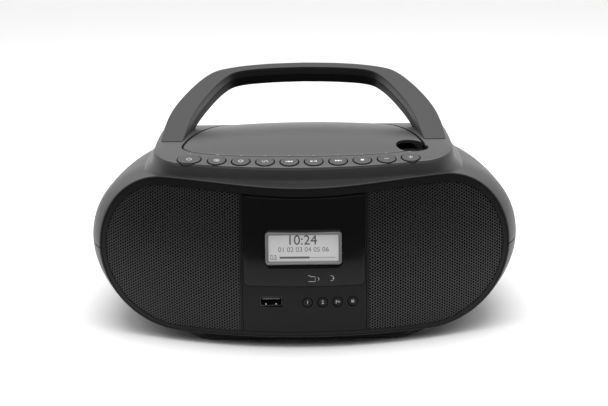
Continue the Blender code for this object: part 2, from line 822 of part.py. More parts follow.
def oval(x, y, half_x, half_y):
    """Outline of an upright hole: a pocket or a notch."""
    turns = [2 * math.pi * i / ROUND for i in range(ROUND)]
    return [(x + half_x * math.cos(a), y + half_y * math.sin(a)) for a in turns]


def hinge_height():
    return deck_z(HINGE_Y) - HINGE_DROP


def hinge_notch(side, clear):
    """Room for one arm of the lid's hinge, or the cutter that makes it."""
    x = side * HINGE_X
    half = HINGE_ARM / 2 + clear
    low = (x - half, HINGE_FRONT_Y - clear, hinge_height() - HINGE_RADIUS - clear)
    high = (x + half, HINGE_Y + HINGE_RADIUS + clear, hinge_height() + 0.02)
    return box(low, high)


# --- Pieces: case ---------------------------------------------------------------------------------
def mirrored(points):
    return [(-x, z) for x, z in reversed(points)]


def case_shell():
    outer = join(barrel(), plinth())
    inner = join(barrel_inside(), plinth(WALL))
    return cut(outer, inner)


def case_halves(look):
    """The two halves of the case, split at the seam, with their openings."""
    upper = case_shell()
    lower = upper.copy()
    lower.data = upper.data.copy()
    bpy.context.scene.collection.objects.link(lower)
    far = 0.3
    common(upper, box((-far, -far, SEAM_Z + GAP / 2), (far, far, far)))
    common(lower, box((-far, -far, -far), (far, far, SEAM_Z - GAP / 2)))

    front_y = FRONT_Y + TOP_OPENING_INSET
    half_y = (TOP_OPENING_REAR - front_y) / 2
    middle = (0.0, front_y + half_y)
    opening = rounded_outline(TOP_OPENING_HALF, half_y, TOP_OPENING_CORNER, 4, middle)
    cut(upper, prism_z(opening, *TOP_CUT))
    cut(upper, inlet_block(GAP))
    cut(upper, jack_block(GAP))
    join(upper, *aerial_mounts())

    cut(lower, battery_opening())
    for x, y in foot_places():
        seat = disc(FOOT_RADIUS + GAP, -PAST, FOOT_SEAT_Z, 16)
        cut(lower, place(seat, Matrix.Translation((x, y, 0.0))))
    for x, y in screw_places():
        cut(lower, place(screw_shape(GAP), Matrix.Translation((x, y, 0.0))))
    name_it(upper, "top_case", look["shell"])
    name_it(lower, "bottom_case", look["shell"])


def aerial_mounts():
    """The boss that the aerial turns on, and the ledge that its far end rests on."""
    boss = disc(BOSS_RADIUS, -POST_SUNK, BOSS_RISE)
    back = Matrix.Translation((AERIAL_X, BACK_WALL_Y, AERIAL_Z)) @ Matrix.Rotation(-math.pi / 2, 4, "X")
    rest_x = AERIAL_X + AERIAL_LENGTH * AERIAL_REST
    under = AERIAL_Z - AERIAL_RADII[0] - GAP
    ledge = box((rest_x - LEDGE_HALF, BACK_WALL_Y - POST_SUNK, under - LEDGE_THICK),
                (rest_x + LEDGE_HALF, AERIAL_Y, under))
    return place(boss, back), ledge


def foot_places():
    front = PLINTH_FRONT_Y + FOOT_FRONT_INSET
    rear = PLINTH_REAR_Y - FOOT_REAR_INSET
    return [(x, y) for y in (front, rear) for x in (-FOOT_X, FOOT_X)]


def screw_places():
    return [(x * SCREW_SHARE, y * SCREW_SHARE) for x, y in foot_places()]


def screw_shape(clear):
    """A case screw, head down, or the hole for it."""
    head = SCREW_HEAD_Z - (0.01 if clear else 0.0)
    seat = SCREW_HEAD_Z + SCREW_HEAD_THICK
    profile = ((0.0, head), (SCREW_HEAD_RADIUS + clear, head), (SCREW_HEAD_RADIUS + clear, seat + clear),
               (SCREW_RADIUS + clear, seat + clear), (SCREW_RADIUS + clear, seat + SCREW_LENGTH),
               (0.0, seat + SCREW_LENGTH))
    return lathe(profile, 12, "screw")


def fixings(look):
    """Rubber feet and the screws that hold the case together."""
    for index, (x, y) in enumerate(foot_places(), 1):
        top = FOOT_SEAT_Z - GAP
        profile = ((0.0, 0.0), (FOOT_RADIUS - FOOT_EASE, 0.0), (FOOT_RADIUS, FOOT_EASE), (FOOT_RADIUS, top),
                   (0.0, top))
        foot = place(lathe(profile, 16), Matrix.Translation((x, y, 0.0)))
        name_it(foot, f"rubber_foot_{index}", look["rubber"])
    for index, (x, y) in enumerate(screw_places(), 1):
        screw = place(screw_shape(0.0), Matrix.Translation((x, y, 0.0)))
        name_it(screw, f"case_screw_{index}", look["steel"])


# --- Pieces: front --------------------------------------------------------------------------------
def speaker_frame(side, behind):
    """Frame on a speaker's axis, at a depth behind the face, +Z towards the listener."""
    x = side * SPEAKER_X
    lean = math.atan((SPEAKER_Z - FACE_NEAREST_Z) / FACE_RADIUS_Z)
    aim = facing_front(x, face_y(x, SPEAKER_Z), SPEAKER_Z, side * SPEAKER_TURN, lean)
    return aim @ Matrix.Translation((0.0, 0.0, -behind))


def panel_outline(grow=0.0, foot=0.0):
    """Outline of the centre panel; its top edge follows the sagging top border."""
    half = PANEL_HALF_WIDTH + grow
    upper_x = FRAME_HALF_WIDTH - UPPER_RUN
    crest = AXIS_Z + UPPER_RISE - TOP_BORDER + grow
    base = AXIS_Z - LOWER_DROP + BOTTOM_BORDER - grow + foot
    top = [half * (1 - i / 4) for i in range(9)]
    return [(-half, base), (half, base)] + [(x, crest - dip_at(x, upper_x, LIP_DIP)) for x in top]


def grille_outline(grow=0.0):
    """Outline of the right grille."""
    start = PANEL_HALF_WIDTH + GAP + PANEL_RIB + GAP - grow
    side = -SIDE_BORDER + grow
    return half_outline(start, side, -TOP_BORDER + grow, -BOTTOM_BORDER + grow)


def front_pieces(look):
    frame = face_plate(outline(), 0.0, FRAME_THICK)
    cut(frame, prism_y(panel_outline(GAP), -0.2, 0.0))
    for side in (1, -1):
        points = grille_outline(GAP)
        points = points if side > 0 else mirrored(points)
        cut(frame, face_plate(points, -0.01, GRILLE_SINK + GRILLE_THICK + GAP))
        hole = disc(CONE_RADIUS + SPEAKER_HOLE_CLEAR, -3 * PAST, 3 * PAST)
        cut(frame, place(hole, speaker_frame(side, 0.0)))
        points = grille_outline()
        points = points if side > 0 else mirrored(points)
        grille = face_plate(points, GRILLE_SINK, GRILLE_SINK + GRILLE_THICK)
        name_it(grille, "grille_right" if side > 0 else "grille_left", look["grille"])
    name_it(frame, "front_baffle", look["frame"])

    panel = face_plate(panel_outline(), 0.0, PANEL_THICK)
    cut(panel, face_plate(window_outline(GAP, 0.02), -0.01, WINDOW_THICK + GAP))
    cut(panel, screen_block(GAP, -0.02, 0.02))
    cut(panel, usb_block(GAP))
    for index in range(FRONT_KEY_COUNT):
        cut(panel, front_key(index, KEY_SIDE_GAP, True))
    name_it(panel, "front_panel", look["frame"])

    window = face_plate(window_outline(0.0, 0.0), 0.0, WINDOW_THICK)
    cut(window, screen_block(0.0, -0.02, 0.02))
    name_it(window, "display_window", look["window"])

    screen = screen_block(0.0, -SCREEN_SINK - SCREEN_THICK, -SCREEN_SINK, GAP)
    back = screen_block(SCREEN_LAP, -SCREEN_SINK - SCREEN_THICK, -PANEL_THICK - SCREEN_BACKING)
    name_it(join(screen, back), "lcd_module", look["screen"])


def window_outline(grow, above):
    """Outline of the display window, with round lower corners; its top lies just inside the panel's."""
    half = PANEL_HALF_WIDTH - WINDOW_SIDE + grow
    upper_x = FRAME_HALF_WIDTH - UPPER_RUN
    crest = AXIS_Z + UPPER_RISE - TOP_BORDER - WINDOW_SIDE + grow + above
    base = WINDOW_BOTTOM_Z - grow
    points = []
    for mirror, turns in ((-1, range(5)), (1, range(4, -1, -1))):
        for i in turns:
            angle = math.pi / 2 * i / 4
            points.append((mirror * (half - WINDOW_CORNER + WINDOW_CORNER * math.cos(angle)),
                           base + WINDOW_CORNER - WINDOW_CORNER * math.sin(angle)))
    top = [half * (1 - i / 4) for i in range(9)]
    return points + [(x, crest - dip_at(x, upper_x, LIP_DIP)) for x in top]


def screen_frame():
    lean = math.atan((SCREEN_Z - FACE_NEAREST_Z) / FACE_RADIUS_Z)
    return facing_front(SCREEN_X, face_y(SCREEN_X, SCREEN_Z), SCREEN_Z, 0.0, lean)


def screen_block(grow, back, front, shrink=0.0):
    """A block in line with the screen, between two heights over the face."""
    half_x = SCREEN_WIDTH / 2 + grow - shrink
    half_z = SCREEN_HEIGHT / 2 + grow - shrink
    block = prism_z(rounded_outline(half_x, half_z, 0.0015, 2), back, front)
    return place(block, screen_frame())


def usb_block(grow):
    front = FRONT_Y - 0.01
    low = (USB_X - USB_WIDTH / 2 - grow, front, USB_Z - USB_HEIGHT / 2 - grow)
    high = (USB_X + USB_WIDTH / 2 + grow, FRONT_Y + 0.05, USB_Z + USB_HEIGHT / 2 + grow)
    return box(low, high)


def usb_socket(look):
    """The socket's shell with its tongue."""
    front = face_y(USB_X, USB_Z) + USB_SUNK
    back = front + USB_DEPTH
    half_x = USB_WIDTH / 2
    half_z = USB_HEIGHT / 2
    shell = box((USB_X - half_x, front, USB_Z - half_z), (USB_X + half_x, back, USB_Z + half_z))
    half_x -= USB_WALL
    half_z -= USB_WALL
    inside = box((USB_X - half_x, front - PAST, USB_Z - half_z),
                 (USB_X + half_x, back - USB_BACK, USB_Z + half_z))
    half_x -= TONGUE_INSET
    tongue = box((USB_X - half_x, front + USB_SUNK, USB_Z + TONGUE_BOTTOM),
                 (USB_X + half_x, back, USB_Z + TONGUE_TOP))
    name_it(cut(shell, cut(inside, tongue)), "usb_socket", look["steel"])


# --- Pieces: keys ---------------------------------------------------------------------------------
def key_profile(radius, top, bottom, flange_at, flange):
    """Half section of a round key with a flange that keeps it from falling out."""
    under = flange_at - KEY_FLANGE
    return ((0.0, bottom), (radius, bottom), (radius, under), (radius + flange, under),
            (radius + flange, flange_at), (radius, flange_at), (radius, top), (0.0, top))


def deck_key(x, grow, is_hole, stretch=0.0):
    """A key in its place on the deck, or the cutter for its hole."""
    y = key_row_y(x)
    if is_hole:
        wide = KEY_RADIUS + KEY_FLANGE_OUT + grow
        profile = ((0.0, -PAST), (wide, -PAST), (wide, -DECK_WALL), (KEY_RADIUS + grow, -DECK_WALL),
                   (KEY_RADIUS + grow, PAST), (0.0, PAST))
    else:
        profile = key_profile(KEY_RADIUS, KEY_PROUD, -KEY_DEPTH, -DECK_WALL - GAP, KEY_FLANGE_OUT)
    key = lathe(profile, DECK_KEY_SIDES)
    for vert in key.data.vertices:
        if abs(vert.co.x) > 1e-5:
            vert.co.x += math.copysign(stretch, vert.co.x)
    return place(key, on_deck(x, y))


def deck_keys():
    """Name, place and stretch of each key on the deck."""
    keys = [("key_power", POWER_KEY_X, POWER_KEY_STRETCH)]
    for index in range(KEY_COUNT):
        keys.append((f"deck_key_{index + 1}", KEY_FIRST_X + index * KEY_PITCH, 0.0))
    return keys


def front_key_place(index):
    x = FRONT_KEY_X + index * FRONT_KEY_PITCH
    return x, face_y(x, FRONT_KEY_Z)


def front_key(index, grow, is_hole):
    x, y = front_key_place(index)
    if is_hole:
        key = disc(FRONT_KEY_RADIUS + grow, -2 * PAST, 2 * PAST, FRONT_KEY_SIDES)
    else:
        back = FRONT_BOARD_Y - FRONT_KEY_CLEAR - y
        profile = key_profile(FRONT_KEY_RADIUS, 0.0, -back, -PANEL_THICK - FRONT_KEY_SEAT, KEY_FLANGE_OUT)
        key = lathe(profile, FRONT_KEY_SIDES)
    return place(key, facing_front(x, y, FRONT_KEY_Z))


def keys(look):
    for name, x, stretch in deck_keys():
        key = name_it(deck_key(x, 0.0, False, stretch), name, look["key"])
        set_origin(key, (x, key_row_y(x), deck_z(key_row_y(x))))
    for index in range(FRONT_KEY_COUNT):
        key = name_it(front_key(index, 0.0, False), f"front_key_{index + 1}", look["frame"])
        x, y = front_key_place(index)
        set_origin(key, (x, y, FRONT_KEY_Z))


# --- Pieces: deck, well and lid -------------------------------------------------------------------
def deck(look):
    body = deck_block(0.0, 0.0)
    cut(body, deck_block(-DECK_WALL, -DECK_WALL))
    cut(body, barrel(GAP))
    cut(body, prism_z(lid_outline(SLIT, TAIL_CLEAR), *TOP_CUT))
    cut(body, prism_z(oval(POCKET_X, POCKET_Y, POCKET_HALF_X, POCKET_HALF_Y), *TOP_CUT))
    for side in (1, -1):
        cut(body, hinge_notch(side, HINGE_CLEAR))
    for name, x, stretch in deck_keys():
        cut(body, deck_key(x, KEY_SIDE_GAP, True, stretch))
    name_it(body, "top_deck", look["deck"])


def well(look):
    """The dish under the lid: a shelf that follows the deck, and a round well for the disc."""
    shelf = prism_z(lid_outline(SLIT + SHELF_LAP), *TOP_CUT)
    lap = SHELF_LAP
    join(shelf, prism_z(oval(POCKET_X, POCKET_Y, POCKET_HALF_X + lap, POCKET_HALF_Y + lap), *TOP_CUT))
    common(shelf, deck_slab(-SHELF_DROP, -SHELF_DROP - SHELF_THICK))
    low, high = TOP_CUT
    centre = Matrix.Translation((0.0, DISC_Y, 0.0))
    pot = place(disc(WELL_RADIUS + WELL_WALL, WELL_FLOOR_Z - WELL_WALL, high, WELL_SIDES), centre)
    common(pot, deck_slab(-SHELF_DROP, -0.06))
    join(pot, shelf)
    cut(pot, place(disc(WELL_RADIUS, WELL_FLOOR_Z, high, WELL_SIDES), centre))
    cut(pot, place(disc(HUB_HOLE, low, high), centre))
    cut(pot, box((SLOT_START, DISC_Y - SLOT_HALF, low), (SLOT_END, DISC_Y + SLOT_HALF, high)))
    for side in (1, -1):
        cut(pot, hinge_notch(side, HINGE_CLEAR))
    name_it(pot, "cd_well", look["well"])


def lid(look):
    """The lid with its thumb notch and its two hinge arms."""
    body = cut(lid_shell(), prism_z(oval(NOTCH_X, NOTCH_Y, NOTCH_RADIUS, NOTCH_RADIUS), *TOP_CUT))
    axis = hinge_height()
    for side in (1, -1):
        x = side * HINGE_X
        half = HINGE_ARM / 2
        under = deck_z(HINGE_FRONT_Y) - 0.001
        profile = [(HINGE_FRONT_Y, axis - HINGE_RADIUS), (HINGE_Y, axis - HINGE_RADIUS)]
        profile += [(HINGE_Y + HINGE_RADIUS * math.cos(a), axis + HINGE_RADIUS * math.sin(a))
                    for a in (-math.pi / 4, 0.0, math.pi / 4, math.pi / 2)]
        profile += [(HINGE_FRONT_Y + 0.004, axis + HINGE_RADIUS), (HINGE_FRONT_Y + 0.003, under),
                    (HINGE_FRONT_Y, under)]
        join(body, loft([[(x + s * half, y, z) for y, z in profile] for s in (-1, 1)]))
    name_it(body, "cd_door", look["lid"])
    set_origin(body, (0.0, HINGE_Y, axis))

    top = lid_top(0.0, DISC_Y) - LID_THICK - CLAMP_GAP
    under = top - CLAMP_DROP
    rim = under + CLAMP_RIM
    clamp = lathe(((0.0, under), (CLAMP_RADIUS, under), (CLAMP_RADIUS, rim), (CLAMP_STEM, rim + 0.001),
                   (CLAMP_STEM, top), (0.0, top)))
    name_it(place(clamp, Matrix.Translation((0.0, DISC_Y, 0.0))), "disc_clamp", look["well"])


# --- Pieces: handle -------------------------------------------------------------------------------
def handle_layer(upper, lower, bulge_upper, bulge_lower):
    """A slice of the handle between two depths under its sloping face."""
    steps = 3
    outer = spline(HANDLE_OUTER, steps)
    inner = spline(HANDLE_INNER, steps)
    bm = bmesh.new()
    foot = Matrix.Translation((0.0, HANDLE_FOOT_Y, deck_z(HANDLE_FOOT_Y)))
    frame = foot @ Matrix.Rotation(HANDLE_SLOPE, 4, "X")
    rings = []
    for depth, bulge in ((upper, bulge_upper), (lower, bulge_lower)):
        ring = []
        for path, grow in ((outer, bulge), (inner, 0.0)):
            full = [(x + grow * x / HANDLE_OUTER[0][0], along + grow * along / HANDLE_OUTER[-1][1])
                    for x, along in path]
            full += [(-x, along) for x, along in reversed(full[:-1])]
            ring.append([bm.verts.new(frame @ Vector((x, along, -depth))) for x, along in full])
        rings.append(ring)
    (outer_up, inner_up), (outer_low, inner_low) = rings
    for a, b in ((outer_up, inner_up), (inner_up, inner_low), (inner_low, outer_low), (outer_low, outer_up)):
        for i in range(len(a) - 1):
            bm.faces.new((a[i], a[i + 1], b[i + 1], b[i]))
    for end in (0, -1):
        bm.faces.new((outer_up[end], inner_up[end], inner_low[end], outer_low[end]))
    return to_object(bm, "handle_layer")


def handle(look):
    """The fixed handle: an upper shell and a lower grip, standing on the deck."""
    upper = handle_layer(0.0, HANDLE_SPLIT, 0.0, HANDLE_BULGE)
    lower = handle_layer(HANDLE_SPLIT + GAP, HANDLE_THICK, HANDLE_BULGE, 0.0)
    for body, name in ((upper, "handle"), (lower, "handle_grip")):
        cut(body, deck_slab(GAP, -0.05))
        name_it(body, name, look["handle"])


# --- Pieces: disc drive ---------------------------------------------------------------------------
def disc_drive(look):
    centre = Matrix.Translation((0.0, DISC_Y, 0.0))
    base = CHASSIS_Z + CHASSIS_THICK
    floor = WELL_FLOOR_Z - WELL_WALL
    half = POST_HALF
    sunk = base - POST_SUNK
    chassis = box((-CHASSIS_LEFT, DISC_Y - CHASSIS_HALF, CHASSIS_Z),
                  (CHASSIS_RIGHT, DISC_Y + CHASSIS_HALF, base))
    for x in (-CHASSIS_LEFT + POST_INSET, CHASSIS_RIGHT - POST_INSET):
        for y in (DISC_Y - CHASSIS_HALF + POST_INSET, DISC_Y + CHASSIS_HALF - POST_INSET):
            join(chassis, box((x - half, y - half, sunk), (x + half, y + half, floor - GAP)))
    reach = RAIL_Y + RAIL_BEAM
    for x in (RAIL_START - GAP - half, RAIL_END + GAP + half):
        join(chassis, box((x - half, DISC_Y - reach, sunk), (x + half, DISC_Y + reach, RAIL_Z + half)))
    name_it(chassis, "drive_chassis", look["inside"])
    for side, name in ((-1, "pickup_rail_front"), (1, "pickup_rail_rear")):
        rail = disc(RAIL_RADIUS, RAIL_START, RAIL_END, 12)
        start = Matrix.Translation((0.0, DISC_Y + side * RAIL_Y, RAIL_Z))
        name_it(place(rail, start @ Matrix.Rotation(math.pi / 2, 4, "Y")), name, look["steel"])
    name_it(place(disc(MOTOR_RADIUS, base + GAP, HUB_BOTTOM - GAP), centre), "spindle_motor", look["steel"])
    hub = lathe(((0.0, HUB_BOTTOM), (HUB_RADIUS, HUB_BOTTOM), (HUB_RADIUS, HUB_SEAT), (DISC_BORE, HUB_SEAT),
                 (DISC_BORE, HUB_TOP - HUB_TAPER), (DISC_BORE - HUB_TAPER, HUB_TOP), (0.0, HUB_TOP)))
    name_it(place(hub, centre), "spindle_hub", look["well"])
    set_origin(hub, (0.0, DISC_Y, HUB_BOTTOM))
    half_y = RAIL_Y - RAIL_RADIUS - GAP
    sled = box((PICKUP_X - PICKUP_HALF, DISC_Y - half_y, RAIL_Z - POST_HALF),
               (PICKUP_X + PICKUP_HALF, DISC_Y + half_y, floor - 2 * GAP))
    lens = disc(LENS_RADIUS, RAIL_Z, WELL_FLOOR_Z + LENS_RISE, 16)
    join(sled, place(lens, Matrix.Translation((PICKUP_X, DISC_Y, 0.0))))
    name_it(sled, "pickup_sled", look["inside"])
    set_origin(sled, (PICKUP_X, DISC_Y, RAIL_Z))


# --- Pieces: speakers -----------------------------------------------------------------------------
def speakers(look):
    """Two drivers, each a basket with its magnet, and a cone with its dust cap."""
    rim = BASKET_RIM
    back = -BASKET_DEPTH
    throat = CONE_RADIUS + GAP
    skirt = CONE_RADIUS + BASKET_WALL
    neck = MAGNET_RADIUS - NECK_INSET
    basket_profile = ((SPEAKER_RADIUS, 0.0), (throat, 0.0), (throat, -BASKET_THROAT),
                      (neck, back + rim), (neck, back), (MAGNET_RADIUS + 0.001, back),
                      (skirt, -BASKET_THROAT - 0.001), (skirt, -rim), (SPEAKER_RADIUS, -rim))
    for side, word in ((1, "right"), (-1, "left")):
        seat = speaker_frame(side, SPEAKER_BEHIND)
        magnet = disc(MAGNET_RADIUS, back - MAGNET_THICK, back + rim / 2, SPEAKER_SIDES)
        driver = join(place(ring_lathe(basket_profile, SPEAKER_SIDES), seat), place(magnet, seat))
        name_it(driver, f"speaker_{word}", look["steel"])
        name_it(place(lathe(CONE_PROFILE, SPEAKER_SIDES), seat), f"speaker_cone_{word}", look["cone"])


def ring_lathe(profile, sides):
    """A ring of revolution about Z; the profile is a closed loop that never meets the axis."""
    bm = bmesh.new()
    turns = [2 * math.pi * i / sides for i in range(sides)]
    rows = [[bm.verts.new((r * math.cos(a), r * math.sin(a), z)) for a in turns] for r, z in profile]
    for near, far in zip(rows, rows[1:] + rows[:1]):
        for i in range(sides):
            j = (i + 1) % sides
            bm.faces.new((near[i], near[j], far[j], far[i]))
    return to_object(bm, "ring")


# --- Pieces: electronics --------------------------------------------------------------------------
def key_board_rear(x):
    """Rear edge of the key board, behind the keys and clear of the disc well."""
    edge = key_row_y(x) + KEY_BOARD_BEHIND
    reach = WELL_RADIUS + WELL_WALL + KEY_BOARD_CLEAR
    if abs(x) >= reach:
        return edge
    return min(edge, DISC_Y - math.sqrt(reach * reach - x * x))


def boards(look):
    main = box((-MAIN_BOARD_HALF, MAIN_BOARD_FRONT, MAIN_BOARD_Z),
               (MAIN_BOARD_HALF, MAIN_BOARD_REAR, MAIN_BOARD_Z + BOARD))
    top = MAIN_BOARD_Z + BOARD / 2
    for x, y, half_x, half_y, height in BOARD_PARTS:
        join(main, box((x - half_x, y - half_y, top), (x + half_x, y + half_y, top + height)))
    name_it(main, "main_board", look["board"])

    front = box((-FRONT_BOARD_HALF, FRONT_BOARD_Y, FRONT_BOARD_BOTTOM),
                (FRONT_BOARD_HALF, FRONT_BOARD_Y + BOARD, FRONT_BOARD_TOP))
    cut(front, usb_block(USB_BOARD_CLEAR))
    name_it(front, "front_board", look["board"])

    xs = [KEY_BOARD_HALF * (i / 6 - 1) for i in range(13)]
    strip = [(x, key_row_y(x) - KEY_BOARD_AHEAD) for x in xs]
    strip += [(x, key_board_rear(x)) for x in reversed(xs)]
    under = -KEY_DEPTH - KEY_BOARD_CLEAR
    keyed = common(prism_z(strip, *TOP_CUT), deck_slab(under, under - BOARD))
    name_it(keyed, "key_board", look["board"])

    blocks = []
    for half_x, half_y, low, high in (TRANSFORMER_COIL, TRANSFORMER_CORE):
        blocks.append(box((TRANSFORMER_X - half_x, TRANSFORMER_Y - half_y, low),
                          (TRANSFORMER_X + half_x, TRANSFORMER_Y + half_y, high)))
    name_it(join(*blocks), "transformer", look["steel"])


def inlet_block(grow):
    """The body of the mains inlet, through the back wall."""
    points = rounded_outline(INLET_WIDTH / 2 + grow, INLET_HEIGHT / 2 + grow, 0.004, 3, (INLET_X, INLET_Z))
    return prism_y(points, BACK_WALL_Y - INLET_DEPTH - grow, BACK_WALL_Y + (PAST if grow else 0.0))


def jack_block(grow):
    """The block that holds both jacks, through the back wall."""
    half_x = JACK_PITCH / 2 + JACK_RADIUS + JACK_BORDER
    half_z = JACK_RADIUS + JACK_BORDER
    middle = (JACK_X + JACK_PITCH / 2, JACK_Z)
    points = rounded_outline(half_x + grow, half_z + grow, 0.003, 3, middle)
    return prism_y(points, BACK_WALL_Y - JACK_DEPTH - grow, BACK_WALL_Y + (PAST if grow else 0.0))


def sockets(look):
    """The figure-of-eight mains inlet and the two round jacks in the back wall."""
    inlet = inlet_block(0.0)
    mouth = rounded_outline(*MOUTH_HALF, MOUTH_CORNER, 4, (INLET_X, INLET_Z))
    recess = prism_y(mouth, BACK_WALL_Y - MOUTH_DEPTH, BACK_WALL_Y + PAST)
    backward = Matrix.Rotation(-math.pi / 2, 4, "X")
    for side in (-1, 1):
        pin = disc(PIN_RADIUS, -INLET_DEPTH, -PIN_SUNK, 10)
        at = Matrix.Translation((INLET_X + side * PIN_SPREAD, BACK_WALL_Y, INLET_Z))
        cut(recess, place(pin, at @ backward))
    name_it(cut(inlet, recess), "mains_inlet", look["frame"])
    block = jack_block(0.0)
    for index in range(2):
        at = Matrix.Translation((JACK_X + index * JACK_PITCH, BACK_WALL_Y, JACK_Z))
        cut(block, place(disc(JACK_BORE, JACK_BORE_END - JACK_DEPTH, PAST, 14), at @ backward))
    name_it(block, "jack_block", look["frame"])


# --- Pieces: battery box --------------------------------------------------------------------------
def battery_opening():
    """The door's opening in the back wall."""
    return box((-BATTERY_HALF_WIDTH, BACK_WALL_Y - PAST, BATTERY_BOTTOM_Z),
               (BATTERY_HALF_WIDTH, BACK_WALL_Y + PAST, BATTERY_TOP_Z))


def battery_box(look):
    """The battery door with its three finger grooves, and the tray for the cells."""
    gap = DOOR_GAP
    front = BACK_WALL_Y - WALL
    door = box((-BATTERY_HALF_WIDTH + gap, front, BATTERY_BOTTOM_Z + gap),
               (BATTERY_HALF_WIDTH - gap, BACK_WALL_Y, BATTERY_TOP_Z - gap))
    for side in (-1, 0, 1):
        x = side * GROOVE_PITCH
        cut(door, box((x - GROOVE_HALF, BACK_WALL_Y - GROOVE_DEEP, BATTERY_TOP_Z - GROOVE_END),
                      (x + GROOVE_HALF, BACK_WALL_Y + PAST, BATTERY_TOP_Z - GROOVE_PITCH)))
    name_it(door, "battery_door", look["shell"])
    set_origin(door, (0.0, BACK_WALL_Y, BATTERY_BOTTOM_Z + gap))

    wall = TRAY_WALL
    half = BATTERY_HALF_WIDTH - TRAY_INSET
    floor = BATTERY_BOTTOM_Z + TRAY_INSET
    roof = BATTERY_TOP_Z - TRAY_INSET
    back = front - GAP
    tray = box((-half - wall, back - BATTERY_DEPTH - wall, floor - wall), (half + wall, back, roof + wall))
    hollow = box((-half, back - BATTERY_DEPTH, floor), (half, back + PAST, roof))
    name_it(cut(tray, hollow), "battery_tray", look["inside"])


# --- Pieces: aerial -------------------------------------------------------------------------------
def aerial(look):
    """A telescopic aerial that lies along the back, swings up and tilts out."""
    pivot = (AERIAL_X, AERIAL_Y, AERIAL_Z)
    back = Matrix.Translation((AERIAL_X, BACK_WALL_Y, AERIAL_Z)) @ Matrix.Rotation(-math.pi / 2, 4, "X")
    swivel = place(disc(SWIVEL_RADIUS, BOSS_RISE + GAP, SWIVEL_TOP), back)
    for side in (-1, 1):
        low, high = sorted((side * CHEEK_INNER, side * CHEEK_OUTER))
        cheek = box((AERIAL_X - CHEEK_HALF, BACK_WALL_Y + BOSS_RISE + 2 * GAP, AERIAL_Z + low),
                    (AERIAL_X + CHEEK_HALF, BACK_WALL_Y + REAR_CLEAR, AERIAL_Z + high))
        join(swivel, cheek)
    name_it(swivel, "aerial_swivel", look["frame"])
    set_origin(swivel, pivot)

    along = Matrix.Translation(pivot) @ Matrix.Rotation(math.pi / 2, 4, "Y")
    outer, middle, inner = AERIAL_RADII
    start = MAST_START
    step = MAST_STEP
    root = place(disc(ROOT_RADIUS, -ROOT_RADIUS, ROOT_RADIUS, 16), Matrix.Translation(pivot))
    low = (AERIAL_X, AERIAL_Y - ROOT_TONGUE[0], AERIAL_Z - ROOT_TONGUE[1])
    high = (AERIAL_X + start + 0.001, AERIAL_Y + ROOT_TONGUE[0], AERIAL_Z + ROOT_TONGUE[1])
    join(root, box(low, high))
    bore = middle + GAP
    mast = lathe(((0.0, start), (outer, start), (outer, AERIAL_LENGTH), (bore, AERIAL_LENGTH),
                  (bore, start + 2 * step), (0.0, start + 2 * step)), 16)
    name_it(join(root, place(mast, along)), "aerial_mast_1", look["chrome"])
    set_origin(root, pivot)
    bore = inner + GAP
    start += 3 * step
    second = lathe(((0.0, start), (middle, start), (middle, AERIAL_LENGTH), (bore, AERIAL_LENGTH),
                    (bore, start + 2 * step), (0.0, start + 2 * step)), MAST_SIDES)
    name_it(place(second, along), "aerial_mast_2", look["chrome"])
    set_origin(second, pivot)
    start += 3 * step
    tip = AERIAL_LENGTH + GAP
    knob = outer - GAP
    third = lathe(((0.0, start), (inner, start), (inner, tip), (knob, tip), (knob, tip + TIP_LENGTH),
                   (knob - TIP_EASE, tip + TIP_LENGTH + TIP_EASE), (0.0, tip + TIP_LENGTH + TIP_EASE)),
                  MAST_SIDES)
    name_it(place(third, along), "aerial_mast_3", look["chrome"])
    set_origin(third, pivot)


def main():
    clear_scene()
    look = {
        "shell": material("Case grey", (0.020, 0.020, 0.021), 0.45),
        "deck": material("Deck grey", (0.050, 0.050, 0.051), 0.50),
        "lid": material("Lid grey", (0.035, 0.035, 0.036), 0.50),
        "handle": material("Handle grey", (0.028, 0.028, 0.029), 0.50),
        "frame": material("Front black", (0.010, 0.010, 0.011), 0.45),
        "window": material("Window black", (0.006, 0.006, 0.007), 0.15),
        "grille": material("Grille metal", (0.020, 0.020, 0.021), 0.40, 0.6),
        "screen": material("Screen light", (0.450, 0.460, 0.450), 0.30),
        "key": material("Key black", (0.030, 0.030, 0.031), 0.45),
        "well": material("Well black", (0.008, 0.008, 0.009), 0.50),
        "rubber": material("Rubber", (0.010, 0.010, 0.010), 0.80),
        "steel": material("Plated steel", (0.450, 0.450, 0.460), 0.35, 0.9),
        "chrome": material("Chrome", (0.650, 0.650, 0.660), 0.15, 1.0),
        "cone": material("Paper cone", (0.015, 0.015, 0.015), 0.85),
        "board": material("Board green", (0.020, 0.090, 0.040), 0.50),
        "inside": material("Inner plastic", (0.030, 0.030, 0.032), 0.55),
    }
    case_halves(look)
    fixings(look)
    deck(look)
    well(look)
    lid(look)
    handle(look)
    front_pieces(look)
    usb_socket(look)
    keys(look)
    disc_drive(look)
    speakers(look)
    boards(look)
    sockets(look)
    battery_box(look)
    aerial(look)


main()
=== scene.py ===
"""Visual model of a portable CD and radio player with a carrying handle.

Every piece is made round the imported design, in metres, +Z up, with the front towards -Y.
"""

import json
import math

import bmesh
import bpy
from bpy.props import FloatProperty, FloatVectorProperty, PointerProperty
from mathutils import Matrix, Vector


